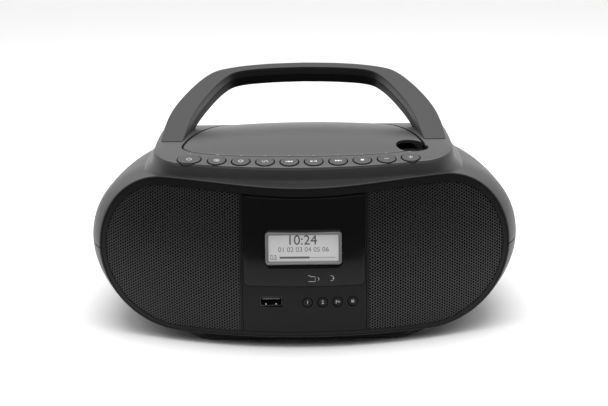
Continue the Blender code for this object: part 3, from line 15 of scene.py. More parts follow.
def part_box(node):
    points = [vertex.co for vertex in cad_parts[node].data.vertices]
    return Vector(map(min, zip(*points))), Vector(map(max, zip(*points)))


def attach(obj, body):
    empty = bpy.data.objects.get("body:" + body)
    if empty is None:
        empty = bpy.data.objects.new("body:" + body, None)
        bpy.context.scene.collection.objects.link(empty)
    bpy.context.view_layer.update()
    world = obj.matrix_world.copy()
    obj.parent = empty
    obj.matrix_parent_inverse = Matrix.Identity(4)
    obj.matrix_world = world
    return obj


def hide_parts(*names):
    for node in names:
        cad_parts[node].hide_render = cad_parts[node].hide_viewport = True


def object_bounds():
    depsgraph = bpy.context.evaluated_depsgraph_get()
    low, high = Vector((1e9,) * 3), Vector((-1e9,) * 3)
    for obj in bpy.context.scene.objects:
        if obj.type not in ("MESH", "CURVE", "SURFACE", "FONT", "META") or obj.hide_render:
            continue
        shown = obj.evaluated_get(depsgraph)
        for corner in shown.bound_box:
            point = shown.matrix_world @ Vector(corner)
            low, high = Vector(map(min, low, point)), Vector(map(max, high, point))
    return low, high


bl_info = {
    "name": "Portable CD and radio player",
    "version": (1, 0, 0),
    "blender": (4, 5, 0),
    "location": "3D View > Sidebar > Player",
    "description": "Builds the shells, grilles, keys, display, handle and aerial of a portable player",
    "category": "Object",
}

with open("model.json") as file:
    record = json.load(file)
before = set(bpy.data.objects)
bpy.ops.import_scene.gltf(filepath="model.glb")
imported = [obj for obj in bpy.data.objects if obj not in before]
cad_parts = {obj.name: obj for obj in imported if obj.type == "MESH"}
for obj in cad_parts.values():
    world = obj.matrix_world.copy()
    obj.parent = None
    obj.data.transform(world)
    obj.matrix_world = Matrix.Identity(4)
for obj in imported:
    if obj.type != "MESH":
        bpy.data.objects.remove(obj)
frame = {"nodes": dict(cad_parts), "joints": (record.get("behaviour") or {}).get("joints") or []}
cad_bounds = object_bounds()


def joint_place(name):
    """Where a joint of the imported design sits."""
    joint = next(j for j in frame["joints"] if j["name"] == name)
    return Vector(joint["pos_m"])


# --- The design's shape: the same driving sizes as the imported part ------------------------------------
GAP = 0.0003
FRONT_Y = cad_bounds[0].y
BACK_WALL_Y = joint_place("battery_door_hinge").y
FACE_NEAREST_Z = 0.024
FACE_RADIUS_X = 0.250
FACE_RADIUS_Z = 0.243
AXIS_Z = 0.061
SEAM_Z = 0.059
FRAME_HALF_WIDTH = 0.142
UPPER_RUN = 0.0465
UPPER_RISE = 0.050
LOWER_RUN = 0.057
LOWER_DROP = 0.0525
LIP_DIP = 0.0044
SIDE_BORDER = 0.0035
TOP_BORDER = 0.0047
BOTTOM_BORDER = 0.0029
FRAME_THICK = 0.0045
UPPER_X = FRAME_HALF_WIDTH - UPPER_RUN
LOWER_X = FRAME_HALF_WIDTH - LOWER_RUN

CASE_LIP = 0.0012
LIP_ROUND = 0.0006
SWELL_SIDE = 0.0100
SWELL_TOP = 0.0020
SWELL_BOTTOM = 0.0005
SWELL_RUN = 0.0345
DIP_RUN = 0.080
REAR_RUN = 0.155
REAR_SIDE = 0.0249
REAR_TOP = 0.0203
REAR_BOTTOM = 0.014
WALL = 0.0025
RIM_DEPTH = 0.008

PLINTH_TOP_HALF = 0.105
PLINTH_BOTTOM_HALF = 0.086
PLINTH_FRONT_Y = FRONT_Y + 0.0055
PLINTH_REAR_Y = BACK_WALL_Y - 0.030
PLINTH_TOP_Z = 0.0165
PLINTH_BOTTOM_Z = 0.0015

DECK_CREST_Z = 0.1288
DECK_CREST_Y = -0.0145
DECK_RADIUS = 0.2625
DECK_HALF_WIDTH = 0.105
DECK_FRONT_Y = FRONT_Y + 0.0289
DECK_FRONT_RADIUS = 0.415
DECK_CORNER = 0.026
DECK_REAR_Y = 0.078
DECK_WALL = 0.0025
DECK_EDGE = 0.0008

DISC_Y = joint_place("spindle_spin").y
WELL_RADIUS = 0.0625
WELL_FLOOR_Z = 0.107
WELL_WALL = 0.002
SHELF_DROP = 0.0060
SHELF_THICK = 0.002
HUB_HOLE = 0.0085
SLOT_HALF = 0.0060
SLOT_END = 0.0620

LID_HALF_WIDTH = 0.0845
LID_WIDEST_Y = -0.052
LID_FRONT = 0.0200
LID_REAR = 0.1130
LID_FRONT_POWER = 2.5
LID_SIDE_POWER = 2.6
LID_TAIL_POWER = 1.25
LID_RISE = 0.0025
LID_THICK = 0.0028
SLIT = 0.0012
HINGE = joint_place("cd_door_hinge")
HINGE_FRONT_Y = HINGE.y - 0.0125
HINGE_RADIUS = 0.0022
HINGE_X = 0.024
HINGE_ARM = 0.008
HINGE_CLEAR = 0.0006
TAIL_CLEAR = 0.0006
POCKET = (0.0765, -0.0590)
POCKET_HALF = (0.0110, 0.0075)
NOTCH = (0.0755, -0.0560)
NOTCH_HALF = (0.0105, 0.0105)

HANDLE_FOOT_Y = -0.0435
HANDLE_SLOPE = math.radians(20.0)
HANDLE_THICK = 0.0140
HANDLE_SPLIT = 0.0065
HANDLE_BULGE = 0.0028
HANDLE_OUTER = ((0.1015, 0.0), (0.0985, 0.039), (0.0886, 0.072), (0.0735, 0.101), (0.057, 0.1115),
                (0.030, 0.1172), (0.0, 0.1190))
HANDLE_INNER = ((0.0862, 0.0), (0.0810, 0.039), (0.0722, 0.069), (0.0612, 0.094), (0.050, 0.1050),
                (0.027, 0.1095), (0.0, 0.1110))

KEY_RADIUS = 0.0061
KEY_TOP = 0.0006
KEY_DEPTH = 0.0046
POWER_KEY_STRETCH = 0.0018
FRONT_KEY_RADIUS = 0.00315

PANEL_HALF_WIDTH = 0.0415
PANEL_THICK = 0.0028
PANEL_RIB = 0.0010
WINDOW_SIDE = 0.0010
WINDOW_BOTTOM_Z = 0.0435
WINDOW_CORNER = 0.003
WINDOW_THICK = 0.0014
SCREEN_WIDTH = 0.0515
SCREEN_HEIGHT = 0.0223
SCREEN_X = -0.0003
SCREEN_Z = 0.0689
SCREEN_SINK = 0.0021
USB_X = -0.0225
USB_Z = 0.0328
USB_WIDTH = 0.0150
USB_HEIGHT = 0.0066
USB_DEPTH = 0.0160

GRILLE_SINK = 0.0004
GRILLE_THICK = 0.0010
SPEAKER_X = 0.0827
SPEAKER_Z = 0.0636
SPEAKER_TURN = math.radians(18.3)
CONE_RADIUS = 0.0330

BATTERY_HALF_WIDTH = 0.0790
BATTERY_BOTTOM_Z = 0.0260
BATTERY_TOP_Z = 0.0545
INLET = (0.095, 0.0730)
INLET_SIZE = (0.0240, 0.0150)
JACKS = (-0.096, 0.0730)
JACK_BLOCK = (0.0310, 0.0130)

AERIAL = joint_place("aerial_swing")
AERIAL_LENGTH = 0.176
AERIAL_RADII = (0.0032, 0.0024, 0.0016)


def face_y(x, z):
    """Depth of the bowl-shaped front face at a point."""
    rise = z - FACE_NEAREST_Z
    return FRONT_Y + x * x / (2 * FACE_RADIUS_X) + rise * rise / (2 * FACE_RADIUS_Z)


def deck_z(y):
    """Height of the deck, an arc from front to back."""
    return DECK_CREST_Z - (y - DECK_CREST_Y) ** 2 / (2 * DECK_RADIUS)


def on_deck(x, y, height=0.0):
    """Frame at a point of the deck, with +Z along the deck's normal."""
    tilt = -math.atan((y - DECK_CREST_Y) / DECK_RADIUS)
    lift = Matrix.Translation((0.0, 0.0, height))
    return Matrix.Translation((x, y, deck_z(y))) @ Matrix.Rotation(tilt, 4, "X") @ lift


def facing_front(x, y, z, turn=0.0, lean=0.0):
    """Frame whose +Z points out of the front, with +X to the right and +Y up."""
    aim = Vector((math.tan(turn), -1.0, math.tan(lean))).normalized()
    across = Vector((0.0, 0.0, 1.0)).cross(aim).normalized()
    turned = Matrix((across, aim.cross(across), aim)).transposed()
    return Matrix.Translation((x, y, z)) @ turned.to_4x4()


def on_face(x, z, height=0.0):
    """Frame at a point of the front face, with +Z along the face's normal."""
    turn = -math.atan(x / FACE_RADIUS_X)
    lean = math.atan((z - FACE_NEAREST_Z) / FACE_RADIUS_Z)
    return facing_front(x, face_y(x, z), z, turn, lean) @ Matrix.Translation((0.0, 0.0, height))


# --- What a user may change -----------------------------------------------------------------------------
def length(name, description, default):
    return FloatProperty(name=name, description=description, default=default, unit="LENGTH", precision=5)


def share(name, description, default):
    return FloatProperty(name=name, description=description, default=default, subtype="FACTOR", min=0.0, max=1.0)


def colour(name, description, default):
    return FloatVectorProperty(name=name, description=description, default=default, subtype="COLOR", size=3,
                               min=0.0, max=1.0)


class PlayerGrille(bpy.types.PropertyGroup):
    """Sizes of the perforated sheet."""
    pitch: length("Pitch", "Distance between holes in an upright row", 0.0020)
    hole: length("Hole", "Diameter of a hole", 0.00142)
    rim: length("Rim", "Plain border round the holes", 0.0007)


class PlayerKeys(bpy.types.PropertyGroup):
    """Shape of the round keys."""
    edge: length("Edge", "Radius of a key's upper edge", 0.0007)
    dish: length("Dish", "How far the middle of a key lies below its rim", 0.00025)
    slot: length("Slot", "Gap between a key and its hole", 0.0008)
    stroke: length("Stroke", "Width of the lines of a printed symbol", 0.00036)


class PlayerFinish(bpy.types.PropertyGroup):
    """Colours of the mouldings and prints."""
    # Case, handle and front are set darker than the deck and lid: painted shade on one charcoal plastic.
    case: colour("Case", "Plastic of the two case halves", (0.018, 0.018, 0.0185))
    deck: colour("Deck", "Plastic of the raised deck", (0.032, 0.032, 0.0325))
    lid: colour("Lid", "Plastic of the disc lid", (0.030, 0.030, 0.0305))
    handle: colour("Handle", "Plastic of the handle", (0.022, 0.022, 0.0225))
    grip: colour("Grip", "Plastic of the lower half of the handle", (0.007, 0.007, 0.0075))
    front: colour("Front", "Black plastic of the front", (0.004, 0.004, 0.0042))
    sheet: colour("Sheet", "Paint on the perforated sheet", (0.013, 0.013, 0.0135))
    screen: colour("Screen", "Lit background of the display", (0.45, 0.45, 0.45))
    print: colour("Print", "Printed symbols", (0.62, 0.62, 0.62))
    grain: length("Grain", "Size of the moulded texture", 0.00035)


class PlayerStudio(bpy.types.PropertyGroup):
    """Lights and floor."""
    overhead: FloatProperty(name="Overhead", description="Power of the soft light above", default=16.0, min=0.0,
                            unit="POWER")
    backdrop: FloatProperty(name="Backdrop", description="Brightness of the surroundings behind and above",
                            default=1.5, min=0.0)
    front: FloatProperty(name="Front", description="Brightness of the surroundings in front", default=0.06, min=0.0)
    floor: share("Floor", "Lightness of the floor", 0.90)


class PlayerSettings(bpy.types.PropertyGroup):
    """All settings of the player."""
    grille: PointerProperty(type=PlayerGrille, name="Grille", description="Sizes of the perforated sheet")
    keys: PointerProperty(type=PlayerKeys, name="Keys", description="Shape of the round keys")
    finish: PointerProperty(type=PlayerFinish, name="Finish", description="Colours of the mouldings and prints")
    studio: PointerProperty(type=PlayerStudio, name="Studio", description="Lights and floor")


def settings():
    return bpy.context.scene.player


# --- Node graphs ------------------------------------------------------------------------------------------
class Value:
    """A node's output that can be used in Python arithmetic."""

    def __init__(self, graph, socket):
        self.graph = graph
        self.socket = socket

    def maths(self, operation, *others):
        return self.graph.node("ShaderNodeMath", {"operation": operation}, (self, *others))

    def __add__(self, other):
        return self.maths("ADD", other)

    def __sub__(self, other):
        return self.maths("SUBTRACT", other)

    def __rsub__(self, other):
        return self.graph.node("ShaderNodeMath", {"operation": "SUBTRACT"}, (other, self))

    def __mul__(self, other):
        return self.maths("MULTIPLY", other)

    def __truediv__(self, other):
        return self.maths("DIVIDE", other)

    def __gt__(self, other):
        return self.maths("GREATER_THAN", other)

    def __lt__(self, other):
        return self.maths("LESS_THAN", other)

    __radd__ = __add__
    __rmul__ = __mul__


class Graph:
    """A node tree that is built by naming nodes, their settings and what feeds them."""

    def __init__(self, tree):
        self.tree = tree
        tree.nodes.clear()

    def node(self, kind, options=None, feeds=(), out=0):
        """Add a node. Feeds are values by position, or by socket name in a dict. Returns one output, or None."""
        made = self.tree.nodes.new(kind)
        for name, option in (options or {}).items():
            if name == "stops":
                self.set_stops(made, option)
            else:
                setattr(made, name, option)
        pairs = feeds.items() if isinstance(feeds, dict) else enumerate(feeds)
        for key, value in pairs:
            if value is None:
                continue
            socket = made.inputs[key]
            if isinstance(value, Value):
                self.tree.links.new(value.socket, socket)
            else:
                socket.default_value = value
        if not made.outputs:
            return None
        return Value(self, made.outputs[out])

    def set_stops(self, ramp, stops):
        elements = ramp.color_ramp.elements
        for index, (place, grey) in enumerate(stops):
            stop = elements[index] if index < 2 else elements.new(place)
            stop.position = place
            stop.color = (grey, grey, grey, 1.0)

    def other(self, value, out):
        """Another output of the node behind a value."""
        return Value(self, value.socket.node.outputs[out])


class Finish(Graph):
    """A material with a Principled surface."""

    def __init__(self, name):
        self.surface = bpy.data.materials.new(name)
        self.surface.use_nodes = True
        super().__init__(self.surface.node_tree)
        self.place = self.node("ShaderNodeTexCoord", out="Object")

    def noise(self, size, detail=2.0, stretch=None):
        """Noise whose features are about size across, stretched along an axis if asked."""
        place = self.place
        if stretch:
            place = self.node("ShaderNodeMapping", feeds={"Vector": place, "Scale": stretch})
        return self.node("ShaderNodeTexNoise", feeds={"Vector": place, "Scale": 1 / size, "Detail": detail})

    def tint(self, colour, factor, change):
        """A colour whose lightness varies by a share of itself."""
        dark = tuple(c * (1 - change) for c in colour)
        light = tuple(c * (1 + change) for c in colour)
        return self.node("ShaderNodeMix", {"data_type": "RGBA"},
                         {0: factor, 6: (*dark, 1.0), 7: (*light, 1.0)}, out=2)

    def bump(self, height, depth, normal=None):
        return self.node("ShaderNodeBump", feeds={"Height": height, "Distance": depth, "Strength": 1.0,
                                                  "Normal": normal})

    def shade(self, **feeds):
        """Finish with a Principled shader; names are its sockets, with _ for a space."""
        inputs = {name.replace("_", " "): value for name, value in feeds.items()}
        shader = self.node("ShaderNodeBsdfPrincipled", feeds=inputs)
        self.node("ShaderNodeOutputMaterial", feeds={"Surface": shader})
        return self.surface


def plastic(name, tone, roughness, grain=None, depth=0.000012, **extra):
    """Moulded plastic: a fine eroded texture, with faint flow marks in its lightness and its gloss."""
    made = Finish(name)
    size = grain or settings().finish.grain
    flow = made.noise(0.045, 3.0)
    fine = made.noise(size, 2.0)
    speckle = made.noise(size * 2.6, 1.0)
    height = fine * 0.7 + speckle * 0.3
    rough = (flow - 0.5) * 0.10 + (speckle - 0.5) * 0.06 + roughness
    return made.shade(Base_Color=made.tint(tone, flow, 0.05), Roughness=rough,
                      Normal=made.bump(height, depth), **extra)


def gloss_plastic(name, tone, roughness=0.12):
    """Polished plastic with a trace of orange peel."""
    made = Finish(name)
    peel = made.noise(0.006, 2.0)
    haze = made.noise(0.020, 4.0)
    return made.shade(Base_Color=made.tint(tone, haze, 0.06), Roughness=(haze - 0.5) * 0.06 + roughness,
                      Specular_IOR_Level=0.20, Normal=made.bump(peel, 0.000004))


def powder_paint(name, tone):
    """Powder coat on pressed steel: soft gloss with a pebbled skin."""
    made = Finish(name)
    pebble = made.noise(0.00028, 2.0)
    drift = made.noise(0.03, 2.0)
    return made.shade(Base_Color=made.tint(tone, drift, 0.08), Roughness=(drift - 0.5) * 0.10 + 0.42,
                      Metallic=0.0, Normal=made.bump(pebble, 0.000010))


def brushed_steel(name, tone=(0.50, 0.50, 0.51)):
    """Plated sheet steel with fine lines along X and dull spots."""
    made = Finish(name)
    lines = made.noise(0.0003, 2.0, (0.05, 1.0, 1.0))
    spots = made.noise(0.008, 4.0)
    return made.shade(Base_Color=made.tint(tone, spots, 0.12), Roughness=lines * 0.16 + spots * 0.12 + 0.20,
                      Metallic=0.95, Normal=made.bump(lines, 0.000004))


def chrome(name):
    """Polished plating on a drawn tube, with hair lines along it."""
    made = Finish(name)
    lines = made.noise(0.0004, 3.0, (0.03, 1.0, 1.0))
    haze = made.noise(0.015, 3.0)
    return made.shade(Base_Color=made.tint((0.66, 0.66, 0.67), haze, 0.05),
                      Roughness=lines * 0.08 + haze * 0.05 + 0.06,
                      Metallic=1.0, Normal=made.bump(lines, 0.000002))


def rubber(name):
    """Matt rubber with a dusty bloom."""
    made = Finish(name)
    bloom = made.noise(0.004, 4.0)
    pores = made.noise(0.0004, 2.0)
    return made.shade(Base_Color=made.tint((0.016, 0.016, 0.016), bloom, 0.35), Roughness=bloom * 0.15 + 0.75,
                      Normal=made.bump(pores, 0.00003))


def paper(name):
    """Pressed paper pulp with tangled fibres."""
    made = Finish(name)
    fibre = made.noise(0.0008, 6.0)
    blotch = made.noise(0.008, 3.0)
    return made.shade(Base_Color=made.tint((0.030, 0.029, 0.028), blotch, 0.25), Roughness=fibre * 0.2 + 0.7,
                      Normal=made.bump(fibre, 0.00008))


def circuit_board(name):
    """Green lacquer over copper tracks that run in steps, with tinned pads."""
    made = Finish(name)
    cells = made.node("ShaderNodeTexVoronoi", {"distance": "MANHATTAN", "feature": "F1"},
                      {"Vector": made.place, "Scale": 260.0})
    pads = cells < 0.16
    tracks = made.node("ShaderNodeTexBrick", feeds={"Vector": made.place, "Scale": 170.0, "Mortar Size": 0.06}, out=1)
    lacquer = made.tint((0.015, 0.075, 0.035), tracks, 0.30)
    mixed = made.node("ShaderNodeMix", {"data_type": "RGBA"},
                      {0: pads, 6: lacquer, 7: (0.55, 0.55, 0.53, 1.0)}, out=2)
    return made.shade(Base_Color=mixed, Roughness=pads * -0.1 + 0.38, Metallic=pads * 0.9,
                      Normal=made.bump(tracks, 0.00003))


def ink(name, tone, roughness=0.55):
    """Pad-printed ink, a little uneven."""
    made = Finish(name)
    cover = made.noise(0.0006, 3.0)
    return made.shade(Base_Color=made.tint(tone, cover, 0.10), Roughness=cover * 0.1 + roughness,
                      Normal=made.bump(cover, 0.000006))


def screen_light(name, tone):
    """Backlit display film: pixel grid, and a painted reflection that makes it a little brighter along its lower
    edge.
    """
    made = Finish(name)
    split = made.node("ShaderNodeSeparateXYZ", feeds=(made.place,))
    across = split.maths("MULTIPLY", 2600.0).maths("FRACT")
    height = made.other(split, 2)
    rows = height.maths("MULTIPLY", 2600.0).maths("FRACT")
    grid = (across < 0.12).maths("MAXIMUM", rows < 0.12)
    # Painted reflection: the film is made lighter towards its lower edge, with a faint mottle.
    painted_reflection_and_mottle = (height - (SCREEN_Z - SCREEN_HEIGHT / 2)) * (-6.0) + made.noise(0.012, 2.0) * 0.08
    level = grid * -0.10 + painted_reflection_and_mottle + 0.5
    lit = made.tint(tone, level, 0.45)
    return made.shade(Base_Color=lit, Roughness=made.noise(0.002) * 0.05 + 0.30, Emission_Color=lit,
                      Emission_Strength=0.35)


def shade_felt(name):
    """Near-black fabric that takes up nearly all light: painted shade, set behind the grilles so that their holes
    read dark.
    """
    made = Finish(name)
    weave = made.noise(0.0004, 2.0)
    return made.shade(Base_Color=made.tint((0.003, 0.003, 0.003), weave, 0.3), Roughness=weave * 0.1 + 0.85,
                      Specular_IOR_Level=0.1, Normal=made.bump(weave, 0.00003))


LOOKS = {}


def make_looks():
    """Every finish of the player, by name."""
    tones = settings().finish
    LOOKS.update({
        # Case, handle and front: the deck's charcoal plastic made darker and less glossy, as painted shade.
        "case": plastic("Case plastic with painted shade", tones.case, 0.38, Specular_IOR_Level=0.20),
        "deck": plastic("Deck plastic", tones.deck, 0.40),
        "lid": plastic("Lid plastic", tones.lid, 0.36),
        "handle": plastic("Handle plastic with painted shade", tones.handle, 0.45, Specular_IOR_Level=0.28),
        "grip": plastic("Grip plastic", tones.grip, 0.48, Specular_IOR_Level=0.15),
        "key": plastic("Key plastic", tones.deck, 0.42, Specular_IOR_Level=0.40),
        "front": plastic("Front plastic with painted shade", tones.front, 0.42, Specular_IOR_Level=0.20),
        "well": plastic("Well plastic", (0.010, 0.010, 0.0105), 0.40),
        "inner": plastic("Inner plastic", (0.020, 0.020, 0.021), 0.50, 0.0006),
        "window": gloss_plastic("Window plastic", (0.005, 0.005, 0.0052)),
        "sheet": powder_paint("Sheet paint", tones.sheet),
        "steel": brushed_steel("Plated steel"),
        "gold": brushed_steel("Gilt contacts", (0.80, 0.60, 0.25)),
        "chrome": chrome("Chrome"),
        "rubber": rubber("Foot rubber"),
        "cone": paper("Cone paper"),
        "board": circuit_board("Circuit board"),
        "screen": screen_light("Display film", tones.screen),
        "digits": ink("Display digits", (0.050, 0.052, 0.055)),
        "faint": ink("Display small digits", (0.150, 0.152, 0.155)),
        "bezel": gloss_plastic("Display bezel", (0.16, 0.16, 0.165), 0.22),
        "print": ink("White print", tones.print),
        "dim": ink("Grey print", tuple(c * 0.75 for c in tones.print)),
        # Painted shade: near-black fabric behind the grilles.
        "shade_felt": shade_felt("Speaker cloth"),
    })


# --- Mesh helpers --------------------------------------------------------------------------------------------
def to_object(bm, name):
    """A mesh object from a bmesh, with doubles merged and faces pointing out."""
    bmesh.ops.remove_doubles(bm, verts=bm.verts, dist=0.000002)
    bmesh.ops.recalc_face_normals(bm, faces=bm.faces)
    mesh = bpy.data.meshes.new(name)
    bm.to_mesh(mesh)
    bm.free()
    made = bpy.data.objects.new(name, mesh)
    bpy.context.scene.collection.objects.link(made)
    return made


def settle(piece):
    """Replace a piece's mesh by its evaluated shape, without slivers."""
    graph = bpy.context.evaluated_depsgraph_get()
    mesh = bpy.data.meshes.new_from_object(piece.evaluated_get(graph))
    piece.modifiers.clear()
    bm = bmesh.new()
    bm.from_mesh(mesh)
    bmesh.ops.remove_doubles(bm, verts=bm.verts, dist=0.000002)
    bmesh.ops.dissolve_degenerate(bm, edges=bm.edges, dist=0.000002)
    bm.to_mesh(mesh)
    bm.free()
    piece.data = mesh
    return piece


def remove(*pieces):
    for piece in pieces:
        bpy.data.objects.remove(piece, do_unlink=True)


def combine(piece, tool, operation):
    """Boolean of a piece with a tool, which is then removed."""
    step = piece.modifiers.new(operation, "BOOLEAN")
    step.operation = operation
    step.solver = "EXACT"
    step.object = tool
    settle(piece)
    remove(tool)
    if not piece.data.polygons:
        raise RuntimeError(f"nothing is left of {piece.name}")
    return piece


def cut(piece, *tools):
    for tool in tools:
        combine(piece, tool, "DIFFERENCE")
    return piece


def join(piece, *tools):
    for tool in tools:
        combine(piece, tool, "UNION")
    return piece


def common(piece, tool):
    return combine(piece, tool, "INTERSECT")


def merge(pieces):
    """Separate solids as one piece, without a Boolean."""
    bm = bmesh.new()
    for piece in pieces:
        bm.from_mesh(piece.data)
    remove(*pieces)
    return to_object(bm, "merged")


def place(piece, matrix):
    piece.data.transform(matrix)
    return piece


def finish(piece, name, look, body="case", slot=None, replaces=(), angle=32.0):
    """Name a piece, give it its finish and shading, and let it ride on its body."""
    piece.name = name
    piece.data.name = name
    piece.data.materials.clear()
    piece.data.materials.append(LOOKS[look])
    piece.data.shade_smooth()
    piece.data.set_sharp_from_angle(angle=math.radians(angle))
    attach(piece, body)
    if replaces:
        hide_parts(*replaces)
    return piece


def ring_faces(bm, near, far):
    """Faces between two rings of equal counts; a ring of one point makes a fan."""
    count = max(len(near), len(far))
    for i in range(count):
        j = (i + 1) % count
        corners = [near[i % len(near)], near[j % len(near)], far[j % len(far)], far[i % len(far)]]
        bm.faces.new(list(dict.fromkeys(corners)))


def loft(rings, name="loft", ends=True):
    """A solid through rings of equal counts; the first and last may be single points."""
    bm = bmesh.new()
    rows = [[bm.verts.new(point) for point in ring] for ring in rings]
    for near, far in zip(rows, rows[1:]):
        ring_faces(bm, near, far)
    for row in (rows[0], rows[-1]):
        if ends and len(row) > 2:
            bm.faces.new(row)
    return to_object(bm, name)


def box(low, high):
    bm = bmesh.new()
    bmesh.ops.create_cube(bm, size=1.0)
    for vert in bm.verts:
        vert.co = Vector((low[i] + high[i]) / 2 + vert.co[i] * (high[i] - low[i]) for i in range(3))
    return to_object(bm, "box")


def prism_y(outline, front, back):
    """An outline in X and Z, run from front to back."""
    return loft([[(x, y, z) for x, z in outline] for y in (front, back)])


def prism_z(outline, bottom, top):
    """An outline in X and Y, run from bottom to top."""
    return loft([[(x, y, z) for x, y in outline] for z in (bottom, top)])


def circle(radius, height, sides):
    turns = [2 * math.pi * i / sides for i in range(sides)]
    return [(radius * math.cos(a), radius * math.sin(a), height) for a in turns]


def lathe(profile, sides=48, closed=False):
    """A solid of revolution about Z from (radius, height) points; closed makes a ring."""
    rings = [[(0.0, 0.0, z)] if r < 1e-7 else circle(r, z, sides) for r, z in profile]
    return loft(rings + rings[:1] if closed else rings, "lathe", not closed)


def rounded(profile, radius, steps=3):
    """A lathe profile, or any open run of 2-D points, with its inner corners rounded."""
    result = [profile[0]]
    for before, corner, after in zip(profile, profile[1:], profile[2:]):
        a, b, c = Vector(before), Vector(corner), Vector(after)
        reach = min(radius, (a - b).length * 0.45, (c - b).length * 0.45)
        start = b + (a - b).normalized() * reach
        end = b + (c - b).normalized() * reach
        for i in range(steps + 1):
            t = i / steps
            point = start * (1 - t) ** 2 + b * 2 * t * (1 - t) + end * t * t
            result.append(tuple(point))
    return result + [profile[-1]]


def rounded_outline(half_x, half_z, radius, steps=8, middle=(0.0, 0.0)):
    """A rectangle with round corners, anticlockwise."""
    points = []
    for quarter, (sx, sz) in enumerate(((1, 1), (-1, 1), (-1, -1), (1, -1))):
        for i in range(steps + 1):
            angle = math.pi / 2 * (quarter + i / steps)
            points.append((middle[0] + sx * (half_x - radius) + radius * math.cos(angle),
                           middle[1] + sz * (half_z - radius) + radius * math.sin(angle)))
    return points


def ellipse(middle, half, steps=56):
    turns = [2 * math.pi * i / steps for i in range(steps)]
    return [(middle[0] + half[0] * math.cos(a), middle[1] + half[1] * math.sin(a)) for a in turns]


def spline(points, steps):
    """A smooth curve through points, ends included."""
    ends = [points[0]] + list(points) + [points[-1]]
    result = []
    for a, b, c, d in zip(ends, ends[1:], ends[2:], ends[3:]):
        for i in range(steps):
            t = i / steps
            result.append(tuple(0.5 * (2 * q + (r - p) * t + (2 * p - 5 * q + 4 * r - s) * t * t
                                       + (3 * q - p - 3 * r + s) * t ** 3)
                                for p, q, r, s in zip(a, b, c, d)))
    result.append(tuple(points[-1]))
    return result


def mirrored(points):
    return [(-x, z) for x, z in reversed(points)]


def refine(node, look, name=None, slot=None, bevel=0.0, body="case", angle=32.0):
    """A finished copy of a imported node: its loose triangles are merged, and its edges eased."""
    copy = frame["nodes"][node].copy()
    copy.data = frame["nodes"][node].data.copy()
    copy.parent = None
    for key in list(copy.keys()):
        del copy[key]
    copy.matrix_world = Matrix.Identity(4)
    bpy.context.scene.collection.objects.link(copy)
    bm = bmesh.new()
    bm.from_mesh(copy.data)
    bmesh.ops.remove_doubles(bm, verts=bm.verts, dist=0.00001)
    bmesh.ops.dissolve_limit(bm, angle_limit=0.02, verts=bm.verts, edges=bm.edges)
    bm.to_mesh(copy.data)
    bm.free()
    if bevel:
        step = copy.modifiers.new("Ease", "BEVEL")
        step.width = bevel
        step.segments = 2
        step.limit_method = "ANGLE"
        step.angle_limit = math.radians(40)
        step.harden_normals = False
        settle(copy)
    return finish(copy, name or f"{node}_body", look, body, slot, (node,), angle)


# --- Shape of the case ---------------------------------------------------------------------------------------
CAP_STEPS = 26
REAR_SPAN = 0.110
FLAT_STEPS = 30


def dip_at(x, dip=LIP_DIP):
    """How far the top edge sags at x."""
    if abs(x) >= UPPER_X:
        return 0.0
    return dip * math.cos(math.pi * x / (2 * UPPER_X)) ** 2


def outline_stations():
    """Places round the case outline, anticlockwise from the bottom right."""
    turns = [math.pi / 2 * i / CAP_STEPS for i in range(-CAP_STEPS, CAP_STEPS + 1)]
    flats = [1 - 2 * i / FLAT_STEPS for i in range(1, FLAT_STEPS)]
    right = [("right", turn) for turn in turns]
    left = [("left", turn) for turn in reversed(turns)]
    return right + [("top", flat) for flat in flats] + left + [("under", -flat) for flat in flats]


STATIONS = outline_stations()


def outline_point(run, along, side=0.0, top=0.0, bottom=0.0, dip=LIP_DIP):
    """A point of the case outline, grown at the sides, top and bottom."""
    if run == "top":
        x = UPPER_X * along
        return x, AXIS_Z + UPPER_RISE + top - dip_at(x, dip)
    if run == "under":
        return LOWER_X * along, AXIS_Z - LOWER_DROP - bottom
    mirror = 1 if run == "right" else -1
    if along >= 0:
        reach = UPPER_X + (UPPER_RUN + side) * math.cos(along)
        return mirror * reach, AXIS_Z + (UPPER_RISE + top) * math.sin(along)
    reach = LOWER_X + (LOWER_RUN + side) * math.cos(along)
    return mirror * reach, AXIS_Z + (LOWER_DROP + bottom) * math.sin(along)


def outline(grow=0.0):
    return [outline_point(*station, grow, grow, grow) for station in STATIONS]


def smooth(u):
    return u * u * (3 - 2 * u)


def growth(back, left):
    """Growth of the case at a distance behind its front rim, with a distance left to the back wall."""
    u = min(1.0, max(0.0, back / SWELL_RUN))
    fade = 1 - smooth(min(1.0, max(0.0, back / DIP_RUN)))
    v = min(1.0, max(0.0, 1 - left / REAR_RUN))
    quarter = 1 - math.sqrt(1 - v * v)
    tuck = (quarter + v * v) / 2
    side = CASE_LIP + SWELL_SIDE * (1 - (1 - u) ** 2) - REAR_SIDE * tuck
    top = CASE_LIP + SWELL_TOP * smooth(u) - REAR_TOP * tuck
    bottom = CASE_LIP + SWELL_BOTTOM * smooth(u) - REAR_BOTTOM * quarter
    return side, top, bottom, LIP_DIP * fade


def case_ring(step, from_rear=False, pull=0.0):
    """One ring of the case, a step behind its front rim or ahead of its back wall."""
    ring = []
    for station in STATIONS:
        front = face_y(*outline_point(*station))
        back = BACK_WALL_Y - front - step if from_rear else step
        side, top, bottom, dip = growth(back, BACK_WALL_Y - front - back)
        x, z = outline_point(*station, side - pull, top - pull, bottom - pull, dip)
        ring.append((x, front + back, z))
    return ring


def front_steps(first):
    return [first + 0.070 * (i / 14) ** 1.3 for i in range(1, 15)]


def rear_steps(last=0.0):
    turns = [math.pi / 2 * i / 18 for i in range(19)]
    return [REAR_SPAN * (1 - math.sin(turn)) + last for turn in turns]


